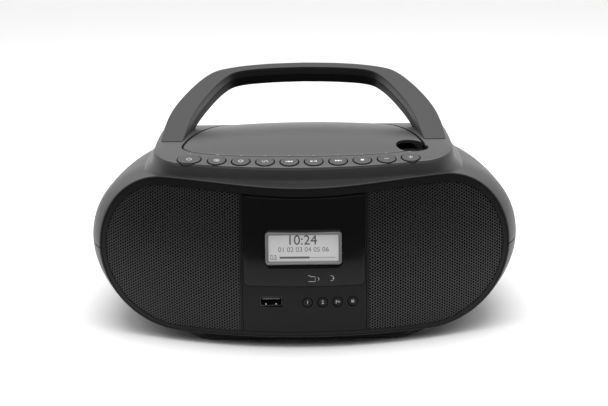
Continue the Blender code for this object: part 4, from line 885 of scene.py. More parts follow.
def barrel(shrink=0.0):
    """The outer shape of the case, a swelling tube with a rounded lip and a rounded back."""
    inner = [outline_point(*station, *(3 * [-SIDE_BORDER])) for station in STATIONS]
    rings = [[(x, FRONT_Y - 0.01, z) for x, z in inner], [(x, face_y(x, z), z) for x, z in inner]]
    for i in range(5):
        turn = math.pi / 2 * i / 4
        rings.append(case_ring(LIP_ROUND * (1 - math.cos(turn)), False, LIP_ROUND * (1 - math.sin(turn)) + shrink))
    rings += [case_ring(step, False, shrink) for step in front_steps(LIP_ROUND)]
    rings += [case_ring(step, True, shrink) for step in rear_steps()]
    return loft(rings, "barrel")


def barrel_inside():
    """The hollow of the case: a straight mouth for the front, then the outer shape less its wall."""
    mouth = outline(GAP)
    rings = [[(x, FRONT_Y - 0.02, z) for x, z in mouth]]
    rings.append([(x, face_y(*outline_point(*station)) + RIM_DEPTH, z) for station, (x, z) in zip(STATIONS, mouth)])
    rings += [case_ring(step, False, WALL) for step in (RIM_DEPTH + 0.005, 0.022, 0.034, 0.048, 0.065)]
    rings += [case_ring(max(step, WALL), True, WALL) for step in rear_steps()[:-3:2] + [WALL]]
    return loft(rings, "barrel_inside")


def plinth(inset=0.0):
    """The foot of the case, with ends that slope in towards the ground."""
    floor = PLINTH_BOTTOM_Z + inset
    rise = PLINTH_TOP_Z - floor
    rings = []
    for share in (0.0, 0.04, 0.10, 0.25, 0.45, 0.70, 1.0):
        half = PLINTH_BOTTOM_HALF + (PLINTH_TOP_HALF - PLINTH_BOTTOM_HALF) * min(1.0, share ** 0.7) - inset
        pull = 0.0008 * max(0.0, 1 - share / 0.10)
        front = PLINTH_FRONT_Y + inset + pull
        rear = PLINTH_REAR_Y - inset - pull
        ring = []
        for x, y in rounded_outline(half - pull, (rear - front) / 2, 0.022, 10, (0.0, (rear + front) / 2)):
            bow = half * half / (2 * FACE_RADIUS_X)
            setback = x * x / (2 * FACE_RADIUS_X) if y < (rear + front) / 2 else 0.0
            ring.append((x, y + min(setback, bow), floor + rise * share))
        rings.append(ring)
    return loft(rings, "plinth")


def steps_between(low, high, step):
    count = max(1, math.ceil((high - low) / step))
    return [low + (high - low) * i / count for i in range(count + 1)]


def face_slab(front, back, x_range, z_range, cell):
    """A slab that follows the bowl of the front, between two depths behind it."""
    xs = steps_between(x_range[0] - cell, x_range[1] + cell, cell)
    zs = steps_between(z_range[0] - cell, z_range[1] + cell, cell)
    bm = bmesh.new()
    near, far = [[[bm.verts.new((x, face_y(x, z) + depth, z)) for z in zs] for x in xs] for depth in (front, back)]
    for sheet in (near, far):
        for one, two in zip(sheet, sheet[1:]):
            for i in range(len(zs) - 1):
                bm.faces.new((one[i], one[i + 1], two[i + 1], two[i]))
    rim = [(i, 0) for i in range(len(xs))] + [(len(xs) - 1, j) for j in range(1, len(zs))]
    rim += [(i, len(zs) - 1) for i in range(len(xs) - 2, -1, -1)] + [(0, j) for j in range(len(zs) - 2, 0, -1)]
    for a, b in zip(rim, rim[1:] + rim[:1]):
        bm.faces.new((near[a[0]][a[1]], near[b[0]][b[1]], far[b[0]][b[1]], far[a[0]][a[1]]))
    return to_object(bm, "face_slab")


def face_plate(points, front, back, cell=0.004):
    """A plate of an outline in X and Z that follows the bowl of the front."""
    xs = [p[0] for p in points]
    zs = [p[1] for p in points]
    return common(prism_y(points, FRONT_Y - 0.02, 0.02),
                  face_slab(front, back, (min(xs), max(xs)), (min(zs), max(zs)), cell))


def ease(piece, width, segments=2, angle=35.0):
    """Round a piece's sharp edges."""
    step = piece.modifiers.new("Ease", "BEVEL")
    step.width = width
    step.segments = segments
    step.limit_method = "ANGLE"
    step.angle_limit = math.radians(angle)
    step.use_clamp_overlap = True
    return settle(piece)


# --- Shape of the deck and the lid ---------------------------------------------------------------------------
def deck_front(x):
    return DECK_FRONT_Y + x * x / (2 * DECK_FRONT_RADIUS)


def deck_outline(grow):
    """Plan of the raised deck: a bowed front, round front corners and straight sides."""
    corner_x = DECK_HALF_WIDTH - DECK_CORNER
    corner_y = deck_front(corner_x) + DECK_CORNER
    right = []
    for i in range(25):
        angle = math.pi / 2 * i / 24
        right.append((corner_x + (DECK_CORNER + grow) * math.sin(angle),
                      corner_y - (DECK_CORNER + grow) * math.cos(angle)))
    side = [(DECK_HALF_WIDTH + grow, y) for y in steps_between(corner_y, DECK_REAR_Y, 0.01)[1:-1]]
    rear = DECK_REAR_Y + grow
    right += side + [(DECK_HALF_WIDTH + grow, rear - 0.0005), (DECK_HALF_WIDTH + grow - 0.0005, rear)]
    front = [(corner_x * (i / 15 - 1), deck_front(corner_x * (i / 15 - 1)) - grow) for i in range(1, 30)]
    return front + right + [(-x, y) for x, y in reversed(right)]


DECK_FLARE = ((0.0, 0.0008), (0.0006, 0.0018), (0.0012, 0.0045), (0.0023, 0.0078), (0.0042, 0.0104),
              (0.0062, 0.0124), (0.0088, 0.0155))


def deck_solid():
    """The raised deck, with a rounded upper edge and sides that flare into the case."""
    centre = Vector((0.0, DECK_CREST_Y))
    edge = [Vector(p) for p in deck_outline(-0.0005 - DECK_EDGE)]
    rings = [[(0.0, centre.y, deck_z(centre.y))]]
    for i in range(1, 21):
        flat = [centre + (p - centre) * (i / 20) for p in edge]
        rings.append([(p.x, p.y, deck_z(p.y)) for p in flat])
    for i in range(1, 5):
        turn = math.pi / 2 * i / 4
        grown = deck_outline(-0.0005 - DECK_EDGE * (1 - math.sin(turn)))
        rings.append([(x, y, deck_z(y) - DECK_EDGE * (1 - math.cos(turn))) for x, y in grown])
    for out, down in spline(DECK_FLARE, 4)[1:]:
        rings.append([(x, y, deck_z(y) - down) for x, y in deck_outline(out - 0.0005)])
    rings.append([(x, y, 0.070) for x, y in deck_outline(DECK_FLARE[-1][0])])
    return loft(rings, "deck")


def deck_slab(top, bottom, half=0.16):
    """A slab that follows the deck, between two heights relative to it."""
    ys = steps_between(DECK_FRONT_Y - 0.02, 0.13, 0.004)
    profile = [(y, deck_z(y) + top) for y in ys] + [(y, deck_z(y) + bottom) for y in reversed(ys)]
    return loft([[(x, y, z) for y, z in profile] for x in (-half, half)], "deck_slab")


def lid_outline(grow=0.0, tail=0.0, steps=40):
    """Plan of the lid: blunt in front, drawn out like an egg to the back."""
    half = LID_HALF_WIDTH + grow
    right = []
    for i in range(-steps, steps + 1):
        angle = math.pi / 2 * i / steps
        across = max(math.cos(angle), 0.0)
        along = abs(math.sin(angle))
        if i < 0:
            x = half * across ** (2 / LID_FRONT_POWER)
            y = LID_WIDEST_Y - (LID_FRONT + grow) * along ** (2 / LID_FRONT_POWER)
        else:
            x = half * across ** (2 / LID_SIDE_POWER)
            y = LID_WIDEST_Y + (LID_REAR + grow + tail) * along ** (2 / LID_TAIL_POWER)
        right.append((0.0 if x < 1e-6 else x, y))
    return right + [(-x, y) for x, y in reversed(right[1:-1])]


def lid_point(x, y, share_out, drop=0.0):
    yy = DECK_CREST_Y + (y - DECK_CREST_Y) * share_out
    return x * share_out, yy, deck_z(yy) + LID_RISE * (1 - min(1.0, share_out) ** 2) - drop


def lid_solid():
    """The crowned lid with a rounded edge and a hollow underside."""
    rim = 0.0010
    rings = [[lid_point(0.0, DECK_CREST_Y, 0.0)]]
    plan = lid_outline(-rim)
    for i in range(1, 25):
        rings.append([lid_point(x, y, math.sin(math.pi / 2 * i / 24)) for x, y in plan])
    for i in range(1, 5):
        turn = math.pi / 2 * i / 4
        grown = lid_outline(-rim * (1 - math.sin(turn)))
        rings.append([(x, y, deck_z(y) - rim * (1 - math.cos(turn))) for x, y in grown])
    rings.append([(x, y, deck_z(y) - LID_THICK) for x, y in lid_outline()])
    inner = lid_outline(-0.0014)
    rings.append([(x, y, deck_z(y) - LID_THICK) for x, y in inner])
    for i in range(9, -1, -1):
        out = i / 9
        ring = [lid_point(x, y, out, LID_THICK - 0.0006) for x, y in inner]
        rings.append(ring if i else ring[:1])
    return loft(rings, "lid")


# --- Pieces of the case --------------------------------------------------------------------------------------
def hinge_notch(side, clear):
    x = side * HINGE_X
    half = HINGE_ARM / 2 + clear
    return box((x - half, HINGE_FRONT_Y - clear, HINGE.z - HINGE_RADIUS - clear),
               (x + half, HINGE.y + HINGE_RADIUS + clear, HINGE.z + 0.02))


def case_halves():
    """Both halves of the case, split at the seam, with their openings."""
    far = 0.3
    whole = cut(join(barrel(), plinth()), join(barrel_inside(), plinth(WALL)))
    upper = whole
    lower = whole.copy()
    lower.data = whole.data.copy()
    bpy.context.scene.collection.objects.link(lower)
    seam = 0.00035
    common(upper, box((-far, -far, SEAM_Z + seam), (far, far, far)))
    common(lower, box((-far, -far, -far), (far, far, SEAM_Z - seam)))
    opening = rounded_outline(0.094, 0.079, 0.016, 6, (0.0, -0.008))
    cut(upper, prism_z(opening, AXIS_Z + 0.025, 0.2))
    socket = rounded_outline(INLET_SIZE[0] / 2 + GAP, INLET_SIZE[1] / 2 + GAP, 0.004, 8, INLET)
    jacks = rounded_outline(JACK_BLOCK[0] / 2 + GAP, JACK_BLOCK[1] / 2 + GAP, 0.003, 8, JACKS)
    cut(upper, prism_y(socket, BACK_WALL_Y - 0.02, BACK_WALL_Y + 0.01))
    cut(upper, prism_y(jacks, BACK_WALL_Y - 0.02, BACK_WALL_Y + 0.01))
    boss = lathe(rounded(((0.0, -0.001), (0.006, -0.001), (0.006, 0.0015), (0.0, 0.0015)), 0.0005))
    join(upper, place(boss, aerial_seat()))
    rest_x = AERIAL.x + AERIAL_LENGTH * 0.9
    under = AERIAL.z - AERIAL_RADII[0] - GAP
    ledge = box((rest_x - 0.004, BACK_WALL_Y - 0.001, under - 0.002), (rest_x + 0.004, AERIAL.y, under))
    join(upper, ledge)
    door = box((-BATTERY_HALF_WIDTH, BACK_WALL_Y - 0.01, BATTERY_BOTTOM_Z),
               (BATTERY_HALF_WIDTH, BACK_WALL_Y + 0.01, BATTERY_TOP_Z))
    cut(lower, door)
    for foot in feet():
        cut(lower, place(lathe(((0.0, -0.01), (0.0073, -0.01), (0.0073, 0.003), (0.0, 0.003))), foot))
    for screw in screws():
        cut(lower, place(lathe(((0.0, -0.01), (0.0033, -0.01), (0.0033, 0.0029), (0.0, 0.0029))), screw))
    finish(upper, "upper_case", "case", slot="shell", replaces=("top_case",), angle=28)
    finish(lower, "lower_case", "case", slot="shell", replaces=("bottom_case",), angle=28)


def node_middle(node):
    low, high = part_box(node)
    return (low + high) / 2


def feet():
    return [Matrix.Translation((*node_middle(f"rubber_foot_{i}").xy, 0.0)) for i in range(1, 5)]


def screws():
    return [Matrix.Translation((*node_middle(f"case_screw_{i}").xy, 0.0)) for i in range(1, 5)]


def aerial_seat():
    return Matrix.Translation((AERIAL.x, BACK_WALL_Y, AERIAL.z)) @ Matrix.Rotation(-math.pi / 2, 4, "X")


def rubber_feet():
    """Round feet with a tread ring round a shallow middle."""
    for index, spot in enumerate(feet(), 1):
        profile = ((0.0, 0.0004), (0.0025, 0.0004), (0.0028, 0.0), (0.0062, 0.0), (0.0070, 0.0008), (0.0070, 0.0026),
                   (0.0, 0.0026))
        foot = place(lathe(rounded(profile, 0.0002), 40), spot)
        finish(foot, f"foot_{index}", "rubber", slot="rubber", replaces=(f"rubber_foot_{index}",))


def screw_tree():
    """Geometry Nodes that put a copy of an object on every point."""
    tree = bpy.data.node_groups.new("Screws on points", "GeometryNodeTree")
    tree.interface.new_socket("Geometry", in_out="OUTPUT", socket_type="NodeSocketGeometry")
    tree.interface.new_socket("Geometry", in_out="INPUT", socket_type="NodeSocketGeometry")
    tree.interface.new_socket("Screw", in_out="INPUT", socket_type="NodeSocketObject")
    tree.interface.new_socket("Turn", in_out="INPUT", socket_type="NodeSocketFloat")
    tree.interface.new_socket("Finish", in_out="INPUT", socket_type="NodeSocketMaterial")
    graph = Graph(tree)
    given = graph.node("NodeGroupInput")
    screw = graph.node("GeometryNodeObjectInfo", feeds={"Object": graph.other(given, 1)}, out=4)
    index = graph.node("GeometryNodeInputIndex")
    angle = index * graph.other(given, 2)
    turn = graph.node("ShaderNodeCombineXYZ", feeds=(0.0, 0.0, angle))
    copies = graph.node("GeometryNodeInstanceOnPoints", feeds={"Points": given, "Instance": screw, "Rotation": turn})
    solid = graph.node("GeometryNodeRealizeInstances", feeds=(copies,))
    painted = graph.node("GeometryNodeSetMaterial", feeds={"Geometry": solid, "Material": graph.other(given, 3)})
    graph.node("NodeGroupOutput", feeds=(painted,))
    return tree


def run_tree(piece, tree, **inputs):
    """Give a piece a Geometry Nodes modifier, set its inputs by name, and keep the result as its mesh."""
    step = piece.modifiers.new(tree.name, "NODES")
    step.node_group = tree
    for item in tree.interface.items_tree:
        if item.in_out == "INPUT" and item.name in inputs:
            step[item.identifier] = inputs[item.name]
    piece.update_tag()
    graph = bpy.context.evaluated_depsgraph_get()
    mesh = bpy.data.meshes.new_from_object(piece.evaluated_get(graph))
    piece.modifiers.clear()
    piece.data = mesh
    return piece


def case_screws():
    """Four pan-head screws with crossed slots."""
    profile = ((0.0, 0.0017), (0.0016, 0.0017), (0.0028, 0.0021), (0.0028, 0.0026), (0.0014, 0.0026),
               (0.0014, 0.0146),
               (0.0, 0.0146))
    screw = lathe(rounded(profile, 0.0003), 32)
    for half_x, half_y in ((0.0014, 0.0003), (0.0003, 0.0014)):
        cut(screw, box((-half_x, -half_y, 0.0), (half_x, half_y, 0.0023)))
    bm = bmesh.new()
    for spot in screws():
        bm.verts.new(spot.translation)
    mesh = bpy.data.meshes.new("screw_points")
    bm.to_mesh(mesh)
    bm.free()
    points = bpy.data.objects.new("screw_points", mesh)
    bpy.context.scene.collection.objects.link(points)
    run_tree(points, screw_tree(), Screw=screw, Turn=0.7, Finish=LOOKS["steel"])
    remove(screw)
    finish(points, "case_screws", "steel", slot="steel", replaces=[f"case_screw_{i}" for i in range(1, 5)])


def battery_door():
    """The battery door, with finger ridges in a round-cornered recess."""
    gap = 0.0004
    front = BACK_WALL_Y - WALL
    door = box((-BATTERY_HALF_WIDTH + gap, front, BATTERY_BOTTOM_Z + gap),
               (BATTERY_HALF_WIDTH - gap, BACK_WALL_Y, BATTERY_TOP_Z - gap))
    ease(door, 0.0005)
    dish = prism_y(rounded_outline(0.012, 0.0045, 0.004, 8, (0.0, BATTERY_TOP_Z - 0.0085)), BACK_WALL_Y - 0.0009,
                   BACK_WALL_Y + 0.01)
    cut(door, dish)
    for index in range(5):
        z = BATTERY_TOP_Z - 0.0115 + 0.0015 * index
        rib = box((-0.009, BACK_WALL_Y - 0.0012, z - 0.0003), (0.009, BACK_WALL_Y - 0.0003, z + 0.0003))
        join(door, rib)
    finish(door, "battery_cover", "case", body="battery_door", slot="shell", replaces=("battery_door",))


# --- Pieces of the deck ----------------------------------------------------------------------------------------
KEY_SIDES = 56


def deck_keys():
    """Name, place and stretch of each key on the deck."""
    names = ["key_power"] + [f"deck_key_{i}" for i in range(1, 10)]
    return [(name, joint_place(f"{name}_press"), POWER_KEY_STRETCH if name == "key_power" else 0.0)
            for name in names]


def stretch_x(piece, amount):
    """Pull a round piece apart along X; it is first turned so that no corner lies on the Y axis."""
    piece.data.transform(Matrix.Rotation(math.pi / KEY_SIDES, 4, "Z"))
    for vert in piece.data.vertices:
        if abs(vert.co.x) > 1e-5:
            vert.co.x += math.copysign(amount, vert.co.x)
    return piece


def key_frame(spot):
    return on_deck(spot.x, spot.y)


def top_deck():
    """The raised deck with its holes for the lid, the finger pocket, the keys and the hinge arms."""
    deck = cut(deck_solid(), barrel(2 * GAP))
    hollow = common(prism_z(deck_outline(-DECK_WALL), 0.07, 0.15), deck_slab(-DECK_WALL, -0.06))
    cut(deck, hollow)
    cut(deck, prism_z(lid_outline(SLIT, TAIL_CLEAR), 0.09, 0.15))
    cut(deck, prism_z(ellipse(POCKET, POCKET_HALF), 0.09, 0.15))
    for side in (1, -1):
        cut(deck, hinge_notch(side, HINGE_CLEAR))
    slot = settings().keys.slot
    for name, spot, stretch in deck_keys():
        hole = lathe(((0.0, -0.009), (KEY_RADIUS + slot, -0.009), (KEY_RADIUS + slot, 0.01), (0.0, 0.01)), KEY_SIDES)
        cut(deck, place(stretch_x(hole, stretch), key_frame(spot)))
    finish(deck, "deck_cover", "deck", slot="deck", replaces=("top_deck",), angle=30)


def disc_well():
    """The dish under the lid: a shelf that follows the deck, and a round well with a raised seat ring."""
    shelf = join(prism_z(lid_outline(0.0044), 0.08, 0.15), prism_z(ellipse(POCKET, (0.0145, 0.0110)), 0.08, 0.15))
    common(shelf, deck_slab(-SHELF_DROP, -SHELF_DROP - SHELF_THICK))
    floor = WELL_FLOOR_Z - WELL_WALL
    outer = WELL_RADIUS + WELL_WALL
    centre = Matrix.Translation((0.0, DISC_Y, 0.0))
    pot = place(lathe(((0.0, floor), (outer, floor), (outer, 0.14), (0.0, 0.14)), 120), centre)
    common(pot, deck_slab(-SHELF_DROP, -0.06))
    join(pot, shelf)
    profile = ((0.0, WELL_FLOOR_Z), (0.0215, WELL_FLOOR_Z), (0.0225, WELL_FLOOR_Z - 0.0006),
               (0.0585, WELL_FLOOR_Z - 0.0006), (0.0595, WELL_FLOOR_Z), (WELL_RADIUS - 0.001, WELL_FLOOR_Z),
               (WELL_RADIUS, WELL_FLOOR_Z + 0.001), (WELL_RADIUS, 0.16), (0.0, 0.16))
    cut(pot, place(lathe(profile, 120), centre))
    cut(pot, place(lathe(((0.0, 0.09), (HUB_HOLE, 0.09), (HUB_HOLE, 0.12), (0.0, 0.12))), centre))
    cut(pot, box((0.004, DISC_Y - SLOT_HALF, 0.09), (SLOT_END, DISC_Y + SLOT_HALF, 0.12)))
    for side in (1, -1):
        cut(pot, hinge_notch(side, HINGE_CLEAR))
    finish(pot, "disc_well", "well", slot="well", replaces=("cd_well",))


def hub_and_clamp():
    """The spindle hub with its three spring claws, and the clamp that hangs under the lid."""
    centre = Matrix.Translation((0.0, DISC_Y, 0.0))
    base = 0.1030
    hub = lathe(rounded(((0.0, base), (0.0080, base), (0.0080, base + 0.0055), (0.0072, base + 0.0055),
                         (0.0072, base + 0.0068), (0.0052, base + 0.0085), (0.0, base + 0.0085)), 0.0005), 64)
    for index in range(3):
        claw = box((0.0050, -0.0006, base + 0.0058), (0.0090, 0.0006, base + 0.0095))
        cut(hub, place(claw, Matrix.Rotation(index * 2 * math.pi / 3, 4, "Z")))
    finish(place(hub, centre), "spindle_cap", "well", "spindle_hub", "well", ("spindle_hub",))
    low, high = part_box("disc_clamp")
    radius = (high.x - low.x) / 2
    profile = ((0.0, low.z), (radius - 0.006, low.z), (radius - 0.0055, low.z + 0.0006), (radius, low.z + 0.0006),
               (radius, low.z + 0.002), (0.0055, low.z + 0.003), (0.005, low.z + 0.005),
               (0.005, high.z), (0.0, high.z))
    clamp = place(lathe(rounded(profile, 0.0004), 64), centre)
    finish(clamp, "clamp_disc", "well", "cd_door", "well", ("disc_clamp",))


def disc_lid():
    """The lid with its thumb notch and its two hinge arms."""
    lid = cut(lid_solid(), prism_z(ellipse(NOTCH, NOTCH_HALF), 0.09, 0.15))
    for side in (1, -1):
        x = side * HINGE_X
        half = HINGE_ARM / 2
        under = deck_z(HINGE_FRONT_Y) - 0.001
        top = HINGE.z + HINGE_RADIUS
        profile = [(HINGE_FRONT_Y, HINGE.z - HINGE_RADIUS), (HINGE.y, HINGE.z - HINGE_RADIUS)]
        turns = [math.pi / 8 * i for i in range(-3, 5)]
        profile += [(HINGE.y + HINGE_RADIUS * math.cos(a), HINGE.z + HINGE_RADIUS * math.sin(a)) for a in turns]
        profile += [(HINGE_FRONT_Y + 0.004, top), (HINGE_FRONT_Y + 0.003, under), (HINGE_FRONT_Y, under)]
        join(lid, loft([[(x + s * half, y, z) for y, z in profile] for s in (-1, 1)]))
    finish(lid, "disc_lid", "lid", "cd_door", "lid", ("cd_door",), 30)


# --- Handle ----------------------------------------------------------------------------------------------------
def rounded_loop(points, radii, steps=4):
    """A closed loop of 2-D points, each corner rounded by its own radius."""
    result = []
    count = len(points)
    for i, radius in enumerate(radii):
        before, corner, after = points[i - 1], points[i], points[(i + 1) % count]
        result += rounded((before, corner, after), radius, steps)[1:-1]
    return result


def handle_bow(near, far, bulge_near, bulge_far, radii, look, name, node):
    """A layer of the handle between two depths below its face, with eased edges."""
    slope = Matrix.Translation((0.0, HANDLE_FOOT_Y, deck_z(HANDLE_FOOT_Y))) @ Matrix.Rotation(HANDLE_SLOPE, 4, "X")
    rings = []
    pairs = list(zip(spline(HANDLE_OUTER, 8), spline(HANDLE_INNER, 8)))
    full = [(o, i, 1) for o, i in pairs] + [(o, i, -1) for o, i in reversed(pairs[:-1])]
    for outer, inner, side in full:
        width = math.dist(outer, inner)
        ring = []
        for across, depth in rounded_loop(((0.0, near), (width, near), (width, far), (0.0, far)), radii):
            bulge = bulge_near + (bulge_far - bulge_near) * (depth - near) / (far - near)
            x = outer[0] + bulge * outer[0] / HANDLE_OUTER[0][0]
            along = outer[1] + bulge * outer[1] / HANDLE_OUTER[-1][1]
            part = across / width
            x, along = inner[0] + (x - inner[0]) * part, inner[1] + (along - inner[1]) * part
            ring.append(slope @ Vector((side * x, along, -depth)))
        rings.append(ring)
    bow = cut(loft(rings, name), deck_slab(GAP, -0.05))
    finish(bow, name, look, slot="handle", replaces=(node,), angle=35)


def carrying_handle():
    """The fixed handle: an upper shell and a darker grip below its parting groove."""
    soft, fine = 0.0010, 0.0003
    handle_bow(0.0, HANDLE_SPLIT, 0.0, HANDLE_BULGE, (soft, soft, fine, fine), "handle", "handle_shell", "handle")
    handle_bow(HANDLE_SPLIT + GAP, HANDLE_THICK, HANDLE_BULGE, 0.0, (fine, fine, 0.0022, 0.0022), "grip",
               "handle_lower", "handle_grip")


# --- Front -----------------------------------------------------------------------------------------------------
def top_edge(half, crest, steps=24):
    return [(half * (1 - 2 * i / steps), crest - dip_at(half * (1 - 2 * i / steps))) for i in range(steps + 1)]


def panel_outline(grow=0.0):
    """Outline of the centre panel; its top edge follows the sagging top border."""
    half = PANEL_HALF_WIDTH + grow
    base = AXIS_Z - LOWER_DROP + BOTTOM_BORDER - grow
    return [(-half, base), (half, base)] + top_edge(half, AXIS_Z + UPPER_RISE - TOP_BORDER + grow)


def window_outline(grow, above):
    """Outline of the display window, with round lower corners."""
    half = PANEL_HALF_WIDTH - WINDOW_SIDE + grow
    base = WINDOW_BOTTOM_Z - grow
    inner = half - WINDOW_CORNER
    turns = [math.pi / 2 * i / 8 for i in range(9)]
    left = [(-inner - WINDOW_CORNER * math.cos(a), base + WINDOW_CORNER * (1 - math.sin(a))) for a in turns]
    crest = AXIS_Z + UPPER_RISE - TOP_BORDER - WINDOW_SIDE + grow + above
    return left + mirrored(left) + top_edge(half, crest)


def grille_outline(grow=0.0):
    """Outline of the right grille."""
    start = PANEL_HALF_WIDTH + 2 * GAP + PANEL_RIB - grow
    side, top, bottom = grow - SIDE_BORDER, grow - TOP_BORDER, grow - BOTTOM_BORDER
    ring = [outline_point(*station, side, top, bottom) for station in STATIONS]
    kept = [p for p in ring if p[0] > start + 0.001]
    kept.sort(key=lambda p: math.atan2(p[1] - AXIS_Z, p[0] - start))
    low = (start, AXIS_Z - LOWER_DROP - bottom)
    high = (start, AXIS_Z + UPPER_RISE + top - dip_at(start))
    return [low] + kept + [high]


def sided(points, side):
    return points if side > 0 else mirrored(points)


def speaker_frame(side, behind):
    """Frame on a speaker's axis, at a depth behind the face, +Z towards the listener."""
    x = side * SPEAKER_X
    lean = math.atan((SPEAKER_Z - FACE_NEAREST_Z) / FACE_RADIUS_Z)
    aim = facing_front(x, face_y(x, SPEAKER_Z), SPEAKER_Z, side * SPEAKER_TURN, lean)
    return aim @ Matrix.Translation((0.0, 0.0, -behind))


def front_frame():
    """The black ring round both grilles, with a recess for each and a hole for each speaker."""
    ring = face_plate(outline(), 0.0, FRAME_THICK)
    cut(ring, prism_y(panel_outline(GAP), -0.2, 0.0))
    for side in (1, -1):
        cut(ring, face_plate(sided(grille_outline(GAP), side), -0.01, GRILLE_SINK + GRILLE_THICK + GAP))
        hole = lathe(((0.0, -0.03), (CONE_RADIUS + 0.002, -0.03), (CONE_RADIUS + 0.002, 0.03), (0.0, 0.03)), 64)
        cut(ring, place(hole, speaker_frame(side, 0.0)))
        behind = GRILLE_SINK + GRILLE_THICK
        # A near-black sheet behind each grille is painted shade: it makes the holes of the sheet read dark.
        shade_cloth = face_plate(sided(grille_outline(), side), behind + 0.00008, behind + 0.00025)
        cut(shade_cloth, place(lathe(((0.0, -0.03), (0.030, -0.03), (0.030, 0.03), (0.0, 0.03)), 64),
                         speaker_frame(side, 0.0)))
        finish(shade_cloth, f"cloth_{side + 1}", "shade_felt", slot="grille")
    finish(ring, "front_ring", "front", slot="frame", replaces=("front_baffle",), angle=25)


def front_keys():
    return [(f"front_key_{i}", joint_place(f"front_key_{i}_press")) for i in range(1, 5)]


def screen_frame():
    lean = math.atan((SCREEN_Z - FACE_NEAREST_Z) / FACE_RADIUS_Z)
    return facing_front(SCREEN_X, face_y(SCREEN_X, SCREEN_Z), SCREEN_Z, 0.0, lean)


def screen_block(grow, back, front):
    block = prism_z(rounded_outline(SCREEN_WIDTH / 2 + grow, SCREEN_HEIGHT / 2 + grow, 0.0022, 8), back, front)
    return place(block, screen_frame())


def centre_panel():
    """The centre panel with its window, and the openings for the display, the USB socket and the keys."""
    panel = face_plate(panel_outline(), 0.0, PANEL_THICK)
    cut(panel, face_plate(window_outline(GAP, 0.02), -0.01, WINDOW_THICK + GAP))
    cut(panel, screen_block(GAP, -0.02, 0.02))
    half_x, half_z = USB_WIDTH / 2 + GAP, USB_HEIGHT / 2 + GAP
    cut(panel, prism_y(rounded_outline(half_x, half_z, 0.0008, 4, (USB_X, USB_Z)), FRONT_Y - 0.01, FRONT_Y + 0.05))
    slot = 0.00045
    for name, spot in front_keys():
        radius = FRONT_KEY_RADIUS + slot
        hole = lathe(((0.0, -0.02), (radius, -0.02), (radius, 0.02), (0.0, 0.02)), 40)
        cut(panel, place(hole, facing_front(*spot)))
    finish(panel, "centre_panel", "front", slot="frame", replaces=("front_panel",), angle=25)
    window = face_plate(window_outline(0.0, 0.0), 0.0, WINDOW_THICK, 0.003)
    cut(window, screen_block(0.0, -0.02, 0.02))
    ease(window, 0.00025, 2, 50)
    finish(window, "window", "window", slot="window", replaces=("display_window",), angle=25)


def display():
    """The display: a lit film in a silvery bezel, with a clock and small marks."""
    half_x, half_z = SCREEN_WIDTH / 2 - GAP, SCREEN_HEIGHT / 2 - GAP
    profile = ((0.0, -0.0008), (0.0003, -0.0003), (0.0009, -0.0002), (0.0016, -0.0008), (0.0021, -0.0019),
               (0.0021, -0.0040), (0.0, -0.0040))
    rings = []
    for inset, height in profile:
        outline_points = rounded_outline(half_x - inset, half_z - inset, max(0.0022 - inset, 0.0006), 6)
        rings.append([(x, y, height) for x, y in outline_points])
    seat = screen_frame()
    bezel = place(loft(rings + rings[:1], "bezel", False), seat)
    finish(bezel, "display_bezel", "bezel", slot="screen", angle=50)
    film = place(prism_z(rounded_outline(half_x - 0.0006, half_z - 0.0006, 0.001, 4), -0.0071, -SCREEN_SINK), seat)
    finish(film, "display_film", "screen", slot="screen", replaces=("lcd_module",))
    clock = text("10:24", 0.0092, (-0.0010, 0.0052))
    finish(place(clock, seat @ Matrix.Translation((0.0, 0.0, -SCREEN_SINK))), "display_digits", "digits")
    marks = [text("01 02 03 04 05 06", 0.0046, (0.0, -0.0010)), text("03", 0.0046, (-0.0200, -0.0062))]
    marks += [ribbon(((-0.0160, -0.0062), (0.0210, -0.0062)), 0.0003), bar((-0.0060, -0.0062), (0.0100, 0.0007))]
    finish(place(merge(marks), seat @ Matrix.Translation((0.0, 0.0, -SCREEN_SINK))), "display_marks", "faint")


def usb_port():
    """The USB socket: a dark plastic shell with a tongue and four contacts."""
    front = face_y(USB_X, USB_Z) + 0.0010
    back = front + USB_DEPTH
    shell = prism_y(rounded_outline(USB_WIDTH / 2, USB_HEIGHT / 2, 0.0008, 5, (USB_X, USB_Z)), front, back)
    hollow = rounded_outline(USB_WIDTH / 2 - 0.0006, USB_HEIGHT / 2 - 0.0006, 0.0005, 5, (USB_X, USB_Z))
    cut(shell, prism_y(hollow, front - 0.01, back - 0.003))
    finish(shell, "usb_shell", "well", slot="steel", replaces=("usb_socket",))
    half = USB_WIDTH / 2 - 0.0015
    tongue = ease(box((USB_X - half, front + 0.001, USB_Z + 0.0011), (USB_X + half, back - 0.003, USB_Z + 0.0019)),
                  0.0002)
    finish(tongue, "usb_tongue", "bezel")
    contacts = []
    for index in range(4):
        x = USB_X + (index - 1.5) * 0.0022
        contacts.append(box((x - 0.0005, front + 0.0016, USB_Z + 0.0010), (x + 0.0005, back - 0.004, USB_Z + 0.0012)))
    for side in (-1, 1):
        x = USB_X + side * 0.0034
        contacts.append(box((x - 0.0004, front + 0.0006, USB_Z - 0.0024), (x + 0.0004, back - 0.004, USB_Z - 0.0019)))
    finish(merge(contacts), "usb_contacts", "gold")


# --- Perforated sheets -------------------------------------------------------------------------------------------
def sheet_cell(pitch, hole):
    """One six-sided cell of the sheet, with a round hole through it."""
    turns = [math.pi / 6 * i for i in range(12)]
    reach = [pitch / math.sqrt(3) if i % 2 == 0 else pitch / 2 for i in range(12)]
    outer = [(r * math.cos(a), r * math.sin(a)) for r, a in zip(reach, turns)]
    inner = [(hole / 2 * math.cos(a), hole / 2 * math.sin(a)) for a in turns]
    rings = [[(x, 0.0, z) for x, z in outer], [(x, 0.0, z) for x, z in inner],
             [(x, GRILLE_THICK, z) for x, z in inner], [(x, GRILLE_THICK, z) for x, z in outer]]
    return loft(rings, "sheet_cell", False)


